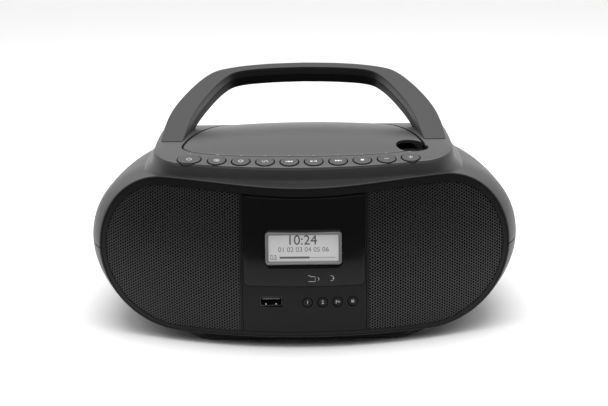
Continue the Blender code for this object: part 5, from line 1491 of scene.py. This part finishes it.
def sheet_tree():
    """Geometry Nodes that fill an outline with cells in a honeycomb and lay them on the bowl of the front."""
    tree = bpy.data.node_groups.new("Perforated sheet", "GeometryNodeTree")
    tree.interface.new_socket("Geometry", in_out="OUTPUT", socket_type="NodeSocketGeometry")
    tree.interface.new_socket("Geometry", in_out="INPUT", socket_type="NodeSocketGeometry")
    for name, kind in (("Cell", "Object"), ("Pitch", "Float"), ("Columns", "Int"), ("Rows", "Int"),
                       ("Middle", "Float"), ("Finish", "Material")):
        tree.interface.new_socket(name, in_out="INPUT", socket_type="NodeSocket" + kind)
    graph = Graph(tree)
    given = graph.node("NodeGroupInput")
    cell, pitch, columns, rows, middle, look = (graph.other(given, i) for i in range(1, 7))
    wide = pitch * (math.sqrt(3) / 2)
    lattice = graph.node("GeometryNodeMeshGrid", feeds=((columns - 1.0) * wide, (rows - 1.0) * pitch, columns, rows))
    place_of = graph.node("ShaderNodeSeparateXYZ", feeds=(graph.node("GeometryNodeInputPosition"),))
    column = (place_of / wide + columns * 0.5 + 0.25).maths("FLOOR")
    shift = column.maths("MODULO", 2.0) * pitch * 0.5
    spot = graph.node("ShaderNodeCombineXYZ",
                      feeds=(place_of + middle, 0.0, graph.other(place_of, 1) + shift + AXIS_Z))
    points = graph.node("GeometryNodeSetPosition", feeds={"Geometry": lattice, "Position": spot})
    near = graph.node("GeometryNodeProximity", {"target_element": "FACES"}, {0: given}, out=1)
    inside = graph.node("GeometryNodeDeleteGeometry", {"domain": "POINT"}, (points, near > 0.00002))
    info = graph.node("GeometryNodeObjectInfo", feeds={"Object": cell}, out=4)
    cells = graph.node("GeometryNodeInstanceOnPoints", feeds={"Points": inside, "Instance": info})
    solid = graph.node("GeometryNodeRealizeInstances", feeds=(cells,))
    where = graph.node("ShaderNodeSeparateXYZ", feeds=(graph.node("GeometryNodeInputPosition"),))
    rise = graph.other(where, 2) - FACE_NEAREST_Z
    depth = where * where * (0.5 / FACE_RADIUS_X) + rise * rise * (0.5 / FACE_RADIUS_Z) + (FRONT_Y + GRILLE_SINK)
    offset = graph.node("ShaderNodeCombineXYZ", feeds=(0.0, depth, 0.0))
    bowl = graph.node("GeometryNodeSetPosition", feeds={"Geometry": solid, "Offset": offset})
    welded = graph.node("GeometryNodeMergeByDistance", feeds={"Geometry": bowl, "Distance": 0.00001})
    painted = graph.node("GeometryNodeSetMaterial", feeds={"Geometry": welded, "Material": look})
    graph.node("NodeGroupOutput", feeds=(painted,))
    return tree


def grilles():
    """The two perforated sheets. Cells at the border run on under the ring that holds the sheet."""
    sizes = settings().grille
    tree = sheet_tree()
    cell = sheet_cell(sizes.pitch, sizes.hole)
    for side, word in ((1, "right"), (-1, "left")):
        outline_points = sided(grille_outline(sizes.rim), side)
        bm = bmesh.new()
        bm.faces.new([bm.verts.new((x, 0.0, z)) for x, z in outline_points])
        sheet = to_object(bm, f"sheet_{word}")
        xs = [p[0] for p in outline_points]
        zs = [p[1] for p in outline_points]
        wide = sizes.pitch * math.sqrt(3) / 2
        columns = math.ceil((max(xs) - min(xs)) / wide) + 3
        rows = math.ceil(2 * max(max(zs) - AXIS_Z, AXIS_Z - min(zs)) / sizes.pitch) + 3
        run_tree(sheet, tree, Cell=cell, Pitch=sizes.pitch, Columns=columns, Rows=rows,
                 Middle=(max(xs) + min(xs)) / 2, Finish=LOOKS["sheet"])
        if len(sheet.data.polygons) < 20000:
            raise RuntimeError(f"the sheet has only {len(sheet.data.polygons)} faces")
        finish(sheet, f"sheet_{word}", "sheet", slot="grille", replaces=(f"grille_{word}",), angle=40)
    remove(cell)


# --- Printed symbols ---------------------------------------------------------------------------------------------
PRINT_THICK = 0.00004


def slab(points):
    """A thin printed area."""
    return prism_z(points, -PRINT_THICK, PRINT_THICK)


def bar(middle, half):
    return slab(rounded_outline(half[0], half[1], min(half) * 0.2, 2, middle))


def ribbon(points, width, closed=False):
    """A printed line of even width through points."""
    ring = [Vector(p) for p in points]
    sides = ([], [])
    count = len(ring)
    for i, point in enumerate(ring):
        before = ring[i - 1] if i or closed else point
        after = ring[(i + 1) % count] if i < count - 1 or closed else point
        along = (after - before).normalized()
        across = Vector((-along.y, along.x)) * width / 2
        sides[0].append(point + across)
        sides[1].append(point - across)
    bm = bmesh.new()
    rows = [[bm.verts.new((p.x, p.y, z)) for p in side] for side, z in
            ((sides[0], PRINT_THICK), (sides[1], PRINT_THICK), (sides[1], -PRINT_THICK), (sides[0], -PRINT_THICK))]
    for one, two in zip(rows, rows[1:] + rows[:1]):
        for i in range(count if closed else count - 1):
            j = (i + 1) % count
            bm.faces.new((one[i], one[j], two[j], two[i]))
    if not closed:
        for end in (0, -1):
            bm.faces.new([row[end] for row in rows])
    return to_object(bm, "ribbon")


def arc(radius, start, end, middle=(0.0, 0.0), steps=20):
    turns = [math.radians(start + (end - start) * i / steps) for i in range(steps + 1)]
    return [(middle[0] + radius * math.cos(a), middle[1] + radius * math.sin(a)) for a in turns]


def text(words, size, middle):
    """Printed numerals, centred on a point."""
    curve = bpy.data.curves.new("text", "FONT")
    curve.body = words
    curve.size = size
    curve.align_x = "CENTER"
    curve.align_y = "CENTER"
    curve.extrude = PRINT_THICK
    source = bpy.data.objects.new("text", curve)
    bpy.context.scene.collection.objects.link(source)
    mesh = bpy.data.meshes.new_from_object(source.evaluated_get(bpy.context.evaluated_depsgraph_get()))
    remove(source)
    made = bpy.data.objects.new("text", mesh)
    bpy.context.scene.collection.objects.link(made)
    return place(made, Matrix.Translation((*middle, 0.0)))


def arrow(x, half, aim=1):
    """A solid triangle that points right or left."""
    return slab([(x - aim * half, -half), (x + aim * half, 0.0), (x - aim * half, half)][::aim])


def symbol(name):
    """The print on a key, about 5 mm across."""
    width = settings().keys.stroke
    unit = 0.0011
    loop = arc(1.6 * unit, 0, 342)
    shapes = {
        "power": lambda: [ribbon(arc(1.5 * unit, 120, 420), width),
                          ribbon(((0, 0.3 * unit), (0, 2.1 * unit)), width)],
        "source": lambda: [ribbon(loop, width, True), ribbon(arc(0.45 * unit, 0, 324, steps=9), width, True)],
        "back": lambda: [arrow(0.9 * unit, unit, -1), arrow(-0.9 * unit, unit, -1),
                         bar((-2.1 * unit, 0), (0.2 * unit, unit))],
        "forward": lambda: [arrow(-0.9 * unit, unit), arrow(0.9 * unit, unit),
                            bar((2.1 * unit, 0), (0.2 * unit, unit))],
        "play": lambda: [arrow(-1.0 * unit, unit), bar((0.8 * unit, 0), (0.22 * unit, unit)),
                         bar((1.6 * unit, 0), (0.22 * unit, unit))],
        "stop": lambda: [bar((0, 0), (unit, unit))],
        "minus": lambda: [bar((0, 0), (1.4 * unit, 0.18 * unit))],
        "plus": lambda: [slab([(a * unit, b * unit) for a, b in PLUS])],
        "repeat": lambda: [ribbon(arc(1.4 * unit, 40, 320), width), arrow(1.3 * unit, 0.7 * unit)],
        "sound": lambda: [ribbon([(x * unit, unit * 1.1 * math.sin(x * 2.2))
                                  for x in steps_between(-2, 2, 0.2)], width)],
        "grid": lambda: [bar((x * unit * 0.8, z * unit * 0.8), (0.28 * unit, 0.28 * unit))
                         for x in (-1, 0, 1) for z in (-1, 0, 1)],
    }
    return merge(shapes[name]())


PLUS = ((-1.4, -0.18), (-0.18, -0.18), (-0.18, -1.4), (0.18, -1.4), (0.18, -0.18), (1.4, -0.18),
        (1.4, 0.18), (0.18, 0.18), (0.18, 1.4), (-0.18, 1.4), (-0.18, 0.18), (-1.4, 0.18))
DECK_SYMBOLS = ("power", "source", "repeat", "sound", "back", "play", "forward", "stop", "minus", "plus")


# --- Keys ----------------------------------------------------------------------------------------------------------
def key_cap(radius, top, bottom, flange_at, flange, edge, dish, sides):
    """A round key with a rounded edge, a dished top and a flange."""
    profile = [(0.0, bottom), (radius, bottom), (radius, flange_at - 0.001), (radius + flange, flange_at - 0.001),
               (radius + flange, flange_at), (radius, flange_at), (radius, top), (radius - 1.6 * edge, top)]
    profile = rounded(profile, edge, 4)
    bowl = radius - 1.6 * edge
    profile += [(bowl * r, top - dish * (1 - r * r)) for r in (0.9, 0.75, 0.6, 0.4, 0.2, 0.0)]
    return lathe(profile, sides)


def control_keys():
    """The round keys on the deck and on the front, each with its print."""
    sizes = settings().keys
    for (name, spot, stretch), mark in zip(deck_keys(), DECK_SYMBOLS):
        cap = key_cap(KEY_RADIUS, KEY_TOP, -KEY_DEPTH, -DECK_WALL - GAP, 0.0006, sizes.edge, sizes.dish, KEY_SIDES)
        finish(place(stretch_x(cap, stretch), key_frame(spot)), f"{name}_cap", "key", name, "key", (name,), 30)
        sign = symbol(mark)
        finish(place(sign, key_frame(spot) @ Matrix.Translation((0.0, 0.0, KEY_TOP - sizes.dish * 0.9))),
               f"{name}_print", "print", name)
    board_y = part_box("front_key_1")[1].y
    signs = [text("1", 0.0034, (0, 0)), text("2", 0.0034, (0, 0)), text("3+", 0.0031, (0, 0)), symbol("grid")]
    place(signs[3], Matrix.Scale(0.75, 4))
    for (name, spot), sign in zip(front_keys(), signs):
        cap = key_cap(FRONT_KEY_RADIUS, 0.0, spot.y - board_y, -PANEL_THICK - 0.0009, 0.0006, 0.0005, 0.0001, 40)
        seat = facing_front(*spot)
        finish(place(cap, seat), f"{name}_cap", "front", name, "frame", (name,), 30)
        finish(place(sign, seat), f"{name}_print", "print", name)


def labels():
    """Small symbols on the window and on the deck."""
    unit = 0.001
    folder = [(-2.6, -1.8), (2.6, -1.8), (2.6, 1.5), (-0.2, 1.5), (-0.7, 2.1), (-2.3, 2.1), (-2.6, 1.6)]
    parts = [ribbon([(x * unit, z * unit) for x, z in folder], 0.00034, True)]
    for side in (-1, 1):
        hook = [(side * 4.2 * unit, 1.1 * unit), (side * 5.4 * unit, 0.0), (side * 4.2 * unit, -1.1 * unit)]
        parts.append(ribbon(hook, 0.00030))
    window = on_face(0.0047, 0.0486, 0.00002)
    dial = merge([ribbon(arc(1.7 * unit, 20, 160), 0.0003), ribbon(arc(1.7 * unit, 200, 340), 0.0003),
                  arrow(1.6 * unit, 0.6 * unit), arrow(-1.6 * unit, 0.6 * unit, -1)])
    marks = merge([place(merge(parts), window), place(dial, on_face(0.0180, 0.0488, 0.00002))])
    finish(marks, "window_print", "dim")
    signs = []
    for index, (name, spot, stretch) in enumerate(deck_keys()):
        ahead = spot.y + 0.0092
        dots = merge([bar((0.0, 0.0), (0.0009, 0.00018)) if index % 3 else bar((0.0, 0.0), (0.0003, 0.0003))])
        signs.append(place(dots, on_deck(spot.x, ahead, 0.00003)))
    finish(merge(signs), "deck_print", "dim")


# --- Back, aerial and the parts inside -------------------------------------------------------------------------
def sockets():
    """The mains inlet with its two pins, and the two jacks."""
    inlet = prism_y(rounded_outline(INLET_SIZE[0] / 2, INLET_SIZE[1] / 2, 0.004, 8, INLET), BACK_WALL_Y - 0.020,
                    BACK_WALL_Y)
    mouth = rounded_outline(0.0092, 0.0047, 0.0046, 10, INLET)
    cut(inlet, prism_y(mouth, BACK_WALL_Y - 0.013, BACK_WALL_Y + 0.01))
    ease(inlet, 0.0004, 2, 50)
    finish(inlet, "inlet_body", "front", slot="frame", replaces=("mains_inlet",))
    backward = Matrix.Rotation(-math.pi / 2, 4, "X")
    pins = []
    for side in (-1, 1):
        pin = lathe(rounded(((0.0, -0.0135), (0.0012, -0.0135), (0.0012, -0.003), (0.0, -0.003)), 0.0006), 24)
        pins.append(place(pin, Matrix.Translation((INLET[0] + side * 0.0043, BACK_WALL_Y, INLET[1])) @ backward))
    finish(merge(pins), "inlet_pins", "steel")
    block = prism_y(rounded_outline(JACK_BLOCK[0] / 2, JACK_BLOCK[1] / 2, 0.003, 8, JACKS), BACK_WALL_Y - 0.014,
                    BACK_WALL_Y)
    rings = []
    for side in (-1, 1):
        seat = Matrix.Translation((JACKS[0] + side * 0.009, BACK_WALL_Y, JACKS[1])) @ backward
        cut(block, place(lathe(((0.0, -0.012), (0.0018, -0.012), (0.0018, 0.01), (0.0, 0.01)), 40), seat))
        collar = ((0.0019, -0.0004), (0.0032, -0.0004), (0.0032, 0.0002), (0.0030, 0.0004), (0.0019, 0.0003))
        rings.append(place(lathe(collar, 40, True), seat))
    ease(block, 0.0004, 2, 50)
    finish(block, "jack_body", "front", slot="frame", replaces=("jack_block",))
    finish(merge(rings), "jack_collars", "steel")


def telescopic_aerial():
    """The aerial: a swivel fork and three drawn tubes."""
    refine("aerial_swivel", "front", "aerial_fork", "frame", 0.0003, "aerial_swivel")
    along = Matrix.Translation(AERIAL) @ Matrix.Rotation(math.pi / 2, 4, "Y")
    outer, middle, inner = AERIAL_RADII
    start = 0.0080
    root = lathe(rounded(((0.0, -0.0022), (0.0022, -0.0022), (0.0022, 0.0022), (0.0, 0.0022)), 0.0005), 32)
    place(root, Matrix.Translation(AERIAL))
    join(root, box((AERIAL.x, AERIAL.y - 0.0015, AERIAL.z - 0.002),
                   (AERIAL.x + start + 0.001, AERIAL.y + 0.0015, AERIAL.z + 0.002)))
    bore = middle + GAP
    end = AERIAL_LENGTH
    tube = lathe(rounded(((0.0, start), (outer, start), (outer, end), (bore, end), (bore, start + 0.004),
                          (0.0, start + 0.004)), 0.0003), 40)
    finish(join(root, place(tube, along)), "mast_lower", "chrome", "aerial_mast_1", "chrome", ("aerial_mast_1",))
    bore = inner + GAP
    start += 0.006
    tube = lathe(rounded(((0.0, start), (middle, start), (middle, end), (bore, end), (bore, start + 0.004),
                          (0.0, start + 0.004)), 0.0002), 32)
    finish(place(tube, along), "mast_middle", "chrome", "aerial_mast_2", "chrome", ("aerial_mast_2",))
    start += 0.006
    tip = end + GAP
    knob = outer - GAP
    rod = lathe(rounded(((0.0, start), (inner, start), (inner, tip), (knob, tip), (knob, tip + 0.005),
                         (0.0, tip + 0.005)),
                        0.0006), 32)
    finish(place(rod, along), "mast_upper", "chrome", "aerial_mast_3", "chrome", ("aerial_mast_3",))


def speakers():
    """The paper cones with their surrounds and dust caps, and the baskets behind them."""
    profile = ((0.0, -0.0088), (0.004, -0.0092), (0.0085, -0.0124), (0.010, -0.0122), (0.026, -0.0022),
               (0.0272, -0.0004),
               (0.0290, 0.0005), (0.0310, -0.0002), (0.0322, -0.0013), (CONE_RADIUS, -0.0013), (CONE_RADIUS, -0.0022),
               (0.029, -0.0006), (0.026, -0.0034), (0.009, -0.0140), (0.0, -0.0105))
    for side, word in ((1, "right"), (-1, "left")):
        cone = lathe(profile, 72)
        finish(place(cone, speaker_frame(side, 0.0090)), f"cone_{word}", "cone", f"speaker_cone_{word}", "cone",
               (f"speaker_cone_{word}",), 40)
        refine(f"speaker_{word}", "inner", f"basket_{word}", "steel")


def inner_parts():
    """What lies inside the case: boards, transformer, disc drive and battery tray."""
    for node, look, slot, ease_by in (
            ("main_board", "board", "board", 0.0), ("front_board", "board", "board", 0.0),
            ("key_board", "board", "board", 0.0), ("transformer", "steel", "steel", 0.0008),
            ("drive_chassis", "inner", "inside", 0.0003), ("pickup_rail_front", "steel", "steel", 0.0),
            ("pickup_rail_rear", "steel", "steel", 0.0), ("spindle_motor", "steel", "steel", 0.0004),
            ("battery_tray", "inner", "inside", 0.0003)):
        refine(node, look, None, slot, ease_by)
    refine("pickup_sled", "inner", None, "inside", 0.0003, "pickup_sled")


# --- Studio ---------------------------------------------------------------------------------------------------------
def area_light(name, size, power, spot, target):
    lamp = bpy.data.lights.new(name, "AREA")
    lamp.shape = "RECTANGLE"
    lamp.size, lamp.size_y = size
    lamp.energy = power
    made = bpy.data.objects.new(name, lamp)
    made.location = spot
    made.rotation_euler = (Vector(target) - Vector(spot)).to_track_quat("-Z", "Y").to_euler()
    bpy.context.scene.collection.objects.link(made)
    return made


def surroundings():
    """White for the camera; for reflections, white behind and above, and dark in front."""
    look = settings().studio
    world = bpy.data.worlds.new("Surroundings")
    world.use_nodes = True
    bpy.context.scene.world = world
    graph = Graph(world.node_tree)
    aim = graph.node("ShaderNodeTexCoord", out="Generated")
    parts = graph.node("ShaderNodeSeparateXYZ", feeds=(aim,))
    back, rise = graph.other(parts, 1), graph.other(parts, 2)
    turn = graph.node("ShaderNodeMapRange", {"interpolation_type": "SMOOTHSTEP"}, {0: back, 1: -0.45, 2: 0.15})
    above = graph.node("ShaderNodeMapRange", {"interpolation_type": "SMOOTHSTEP"}, {0: rise, 1: 0.45, 2: 0.85})
    low = graph.node("ShaderNodeMapRange", {"interpolation_type": "SMOOTHSTEP"}, {0: rise, 1: 0.16, 2: 0.10})
    ahead = low * look.front + look.front
    light = turn.maths("MAXIMUM", above) * look.backdrop
    level = light.maths("MAXIMUM", ahead)
    seen = graph.node("ShaderNodeLightPath")
    bright = level.maths("MAXIMUM", seen)
    surface = graph.node("ShaderNodeBackground", feeds={"Strength": bright})
    graph.node("ShaderNodeOutputWorld", feeds={"Surface": surface})


CAMERA_PLACE = (0.0052, -0.8310, 0.2918)     # where the photo was taken from


def photographer():
    """The camera: an ordinary lens, a little above the player and looking down at it."""
    yaw, pitch, roll = (math.radians(angle) for angle in (-0.38, 14.96, -0.745))
    forward = Vector((math.sin(yaw) * math.cos(pitch), math.cos(yaw) * math.cos(pitch), -math.sin(pitch)))
    right = Vector((math.cos(yaw), -math.sin(yaw), 0.0))
    up = right.cross(forward)
    right, up = (right * math.cos(roll) + up * math.sin(roll), up * math.cos(roll) - right * math.sin(roll))
    lens = bpy.data.cameras.new("Camera")
    lens.lens = 66.86
    lens.sensor_width = 36.0
    lens.clip_start = 0.05
    camera = bpy.data.objects.new("Camera", lens)
    turned = Matrix((right, up, -forward)).transposed().to_4x4()
    camera.matrix_world = Matrix.Translation(CAMERA_PLACE) @ turned
    bpy.context.scene.collection.objects.link(camera)
    bpy.context.scene.camera = camera


def floor():
    look = settings().studio
    made = Finish("Floor")
    drift = made.noise(0.2, 2.0)
    surface = made.shade(Base_Color=made.tint((look.floor,) * 3, drift, 0.01), Roughness=drift * 0.1 + 0.6,
                         Specular_IOR_Level=0.2)
    bm = bmesh.new()
    bmesh.ops.create_grid(bm, x_segments=2, y_segments=2, size=3.0)
    ground = to_object(bm, "floor")
    ground.data.materials.append(surface)


def studio():
    """The floor, the soft light above, the surroundings and the camera."""
    look = settings().studio
    floor()
    surroundings()
    area_light("Overhead", (1.4, 1.0), look.overhead, (0.0, 0.10, 1.25), (0.0, 0.0, 0.1))
    photographer()
    bpy.context.scene.view_settings.view_transform = "Standard"


# --- Operators -------------------------------------------------------------------------------------------
class PlayerFinishes(bpy.types.Operator):
    """Make every finish of the player"""
    bl_idname = "player.finishes"
    bl_label = "Finishes"
    bl_options = {"REGISTER", "UNDO"}

    def execute(self, context):
        make_looks()
        return {"FINISHED"}


class PlayerCasePieces(bpy.types.Operator):
    """Both halves of the case with the battery door"""
    bl_idname = "player.case"
    bl_label = "Case"
    bl_options = {"REGISTER", "UNDO"}

    def execute(self, context):
        case_halves()
        battery_door()
        return {"FINISHED"}


class PlayerFixingsPieces(bpy.types.Operator):
    """Rubber feet and case screws"""
    bl_idname = "player.fixings"
    bl_label = "Feet and screws"
    bl_options = {"REGISTER", "UNDO"}

    def execute(self, context):
        rubber_feet()
        case_screws()
        return {"FINISHED"}


class PlayerDeckPieces(bpy.types.Operator):
    """The raised deck on top of the case"""
    bl_idname = "player.deck"
    bl_label = "Deck"
    bl_options = {"REGISTER", "UNDO"}

    def execute(self, context):
        top_deck()
        return {"FINISHED"}


class PlayerDiscBayPieces(bpy.types.Operator):
    """The disc well with its hub and clamp, and the lid over them"""
    bl_idname = "player.disc_bay"
    bl_label = "Disc bay"
    bl_options = {"REGISTER", "UNDO"}

    def execute(self, context):
        disc_well()
        hub_and_clamp()
        disc_lid()
        return {"FINISHED"}


class PlayerHandlePieces(bpy.types.Operator):
    """The carrying handle"""
    bl_idname = "player.handle"
    bl_label = "Handle"
    bl_options = {"REGISTER", "UNDO"}

    def execute(self, context):
        carrying_handle()
        return {"FINISHED"}


class PlayerFrontPieces(bpy.types.Operator):
    """The front ring, the centre panel and the window"""
    bl_idname = "player.front"
    bl_label = "Front"
    bl_options = {"REGISTER", "UNDO"}

    def execute(self, context):
        front_frame()
        centre_panel()
        return {"FINISHED"}


class PlayerDisplayPieces(bpy.types.Operator):
    """The lit display in its bezel"""
    bl_idname = "player.display"
    bl_label = "Display"
    bl_options = {"REGISTER", "UNDO"}

    def execute(self, context):
        display()
        return {"FINISHED"}


class PlayerGrillesPieces(bpy.types.Operator):
    """The two perforated sheets, by Geometry Nodes"""
    bl_idname = "player.grilles"
    bl_label = "Grilles"
    bl_options = {"REGISTER", "UNDO"}

    def execute(self, context):
        grilles()
        return {"FINISHED"}


class PlayerKeysPieces(bpy.types.Operator):
    """The keys on the deck and the front, with their printed symbols"""
    bl_idname = "player.keys"
    bl_label = "Keys"
    bl_options = {"REGISTER", "UNDO"}

    def execute(self, context):
        control_keys()
        labels()
        return {"FINISHED"}


class PlayerSocketsPieces(bpy.types.Operator):
    """The USB socket, the mains inlet and the jacks"""
    bl_idname = "player.sockets"
    bl_label = "Sockets"
    bl_options = {"REGISTER", "UNDO"}

    def execute(self, context):
        usb_port()
        sockets()
        return {"FINISHED"}


class PlayerAerialPieces(bpy.types.Operator):
    """The telescopic aerial"""
    bl_idname = "player.aerial"
    bl_label = "Aerial"
    bl_options = {"REGISTER", "UNDO"}

    def execute(self, context):
        telescopic_aerial()
        return {"FINISHED"}


class PlayerInsidePieces(bpy.types.Operator):
    """Speakers, boards, disc drive and battery tray"""
    bl_idname = "player.inside"
    bl_label = "Inside"
    bl_options = {"REGISTER", "UNDO"}

    def execute(self, context):
        speakers()
        inner_parts()
        return {"FINISHED"}


class PlayerStage(bpy.types.Operator):
    """Floor, lights, surroundings and camera"""
    bl_idname = "player.studio"
    bl_label = "Studio"
    bl_options = {"REGISTER", "UNDO"}

    def execute(self, context):
        studio()
        return {"FINISHED"}


OPERATORS = (PlayerFinishes, PlayerCasePieces, PlayerFixingsPieces, PlayerDeckPieces, PlayerDiscBayPieces,
             PlayerHandlePieces, PlayerFrontPieces, PlayerDisplayPieces, PlayerGrillesPieces,
             PlayerKeysPieces, PlayerSocketsPieces, PlayerAerialPieces, PlayerInsidePieces, PlayerStage)
GROUPS = (PlayerGrille, PlayerKeys, PlayerFinish, PlayerStudio, PlayerSettings)


class PlayerPanel(bpy.types.Panel):
    """Sidebar panel with the player's pieces and settings"""
    bl_idname = "VIEW3D_PT_player"
    bl_label = "CD and radio player"
    bl_space_type = "VIEW_3D"
    bl_region_type = "UI"
    bl_category = "Player"

    def draw(self, context):
        for made in OPERATORS:
            self.layout.operator(made.bl_idname)
        player = context.scene.player
        for group in (player.grille, player.keys, player.finish, player.studio):
            section = self.layout.box()
            for name in group.bl_rna.properties.keys():
                if name not in {"rna_type", "name"}:
                    section.prop(group, name)


def register():
    for made in (*GROUPS, *OPERATORS, PlayerPanel):
        bpy.utils.register_class(made)
    bpy.types.Scene.player = PointerProperty(type=PlayerSettings, name="Player", description="Settings of the player")


def unregister():
    del bpy.types.Scene.player
    for made in reversed((*GROUPS, *OPERATORS, PlayerPanel)):
        bpy.utils.unregister_class(made)


def main():
    register()
    player = bpy.ops.player
    player.finishes()
    player.case()
    player.fixings()
    player.deck()
    player.disc_bay()
    player.handle()
    player.front()
    player.display()
    player.grilles()
    player.keys()
    player.sockets()
    player.aerial()
    player.inside()
    player.studio()


if __name__ == "__main__":
    main()
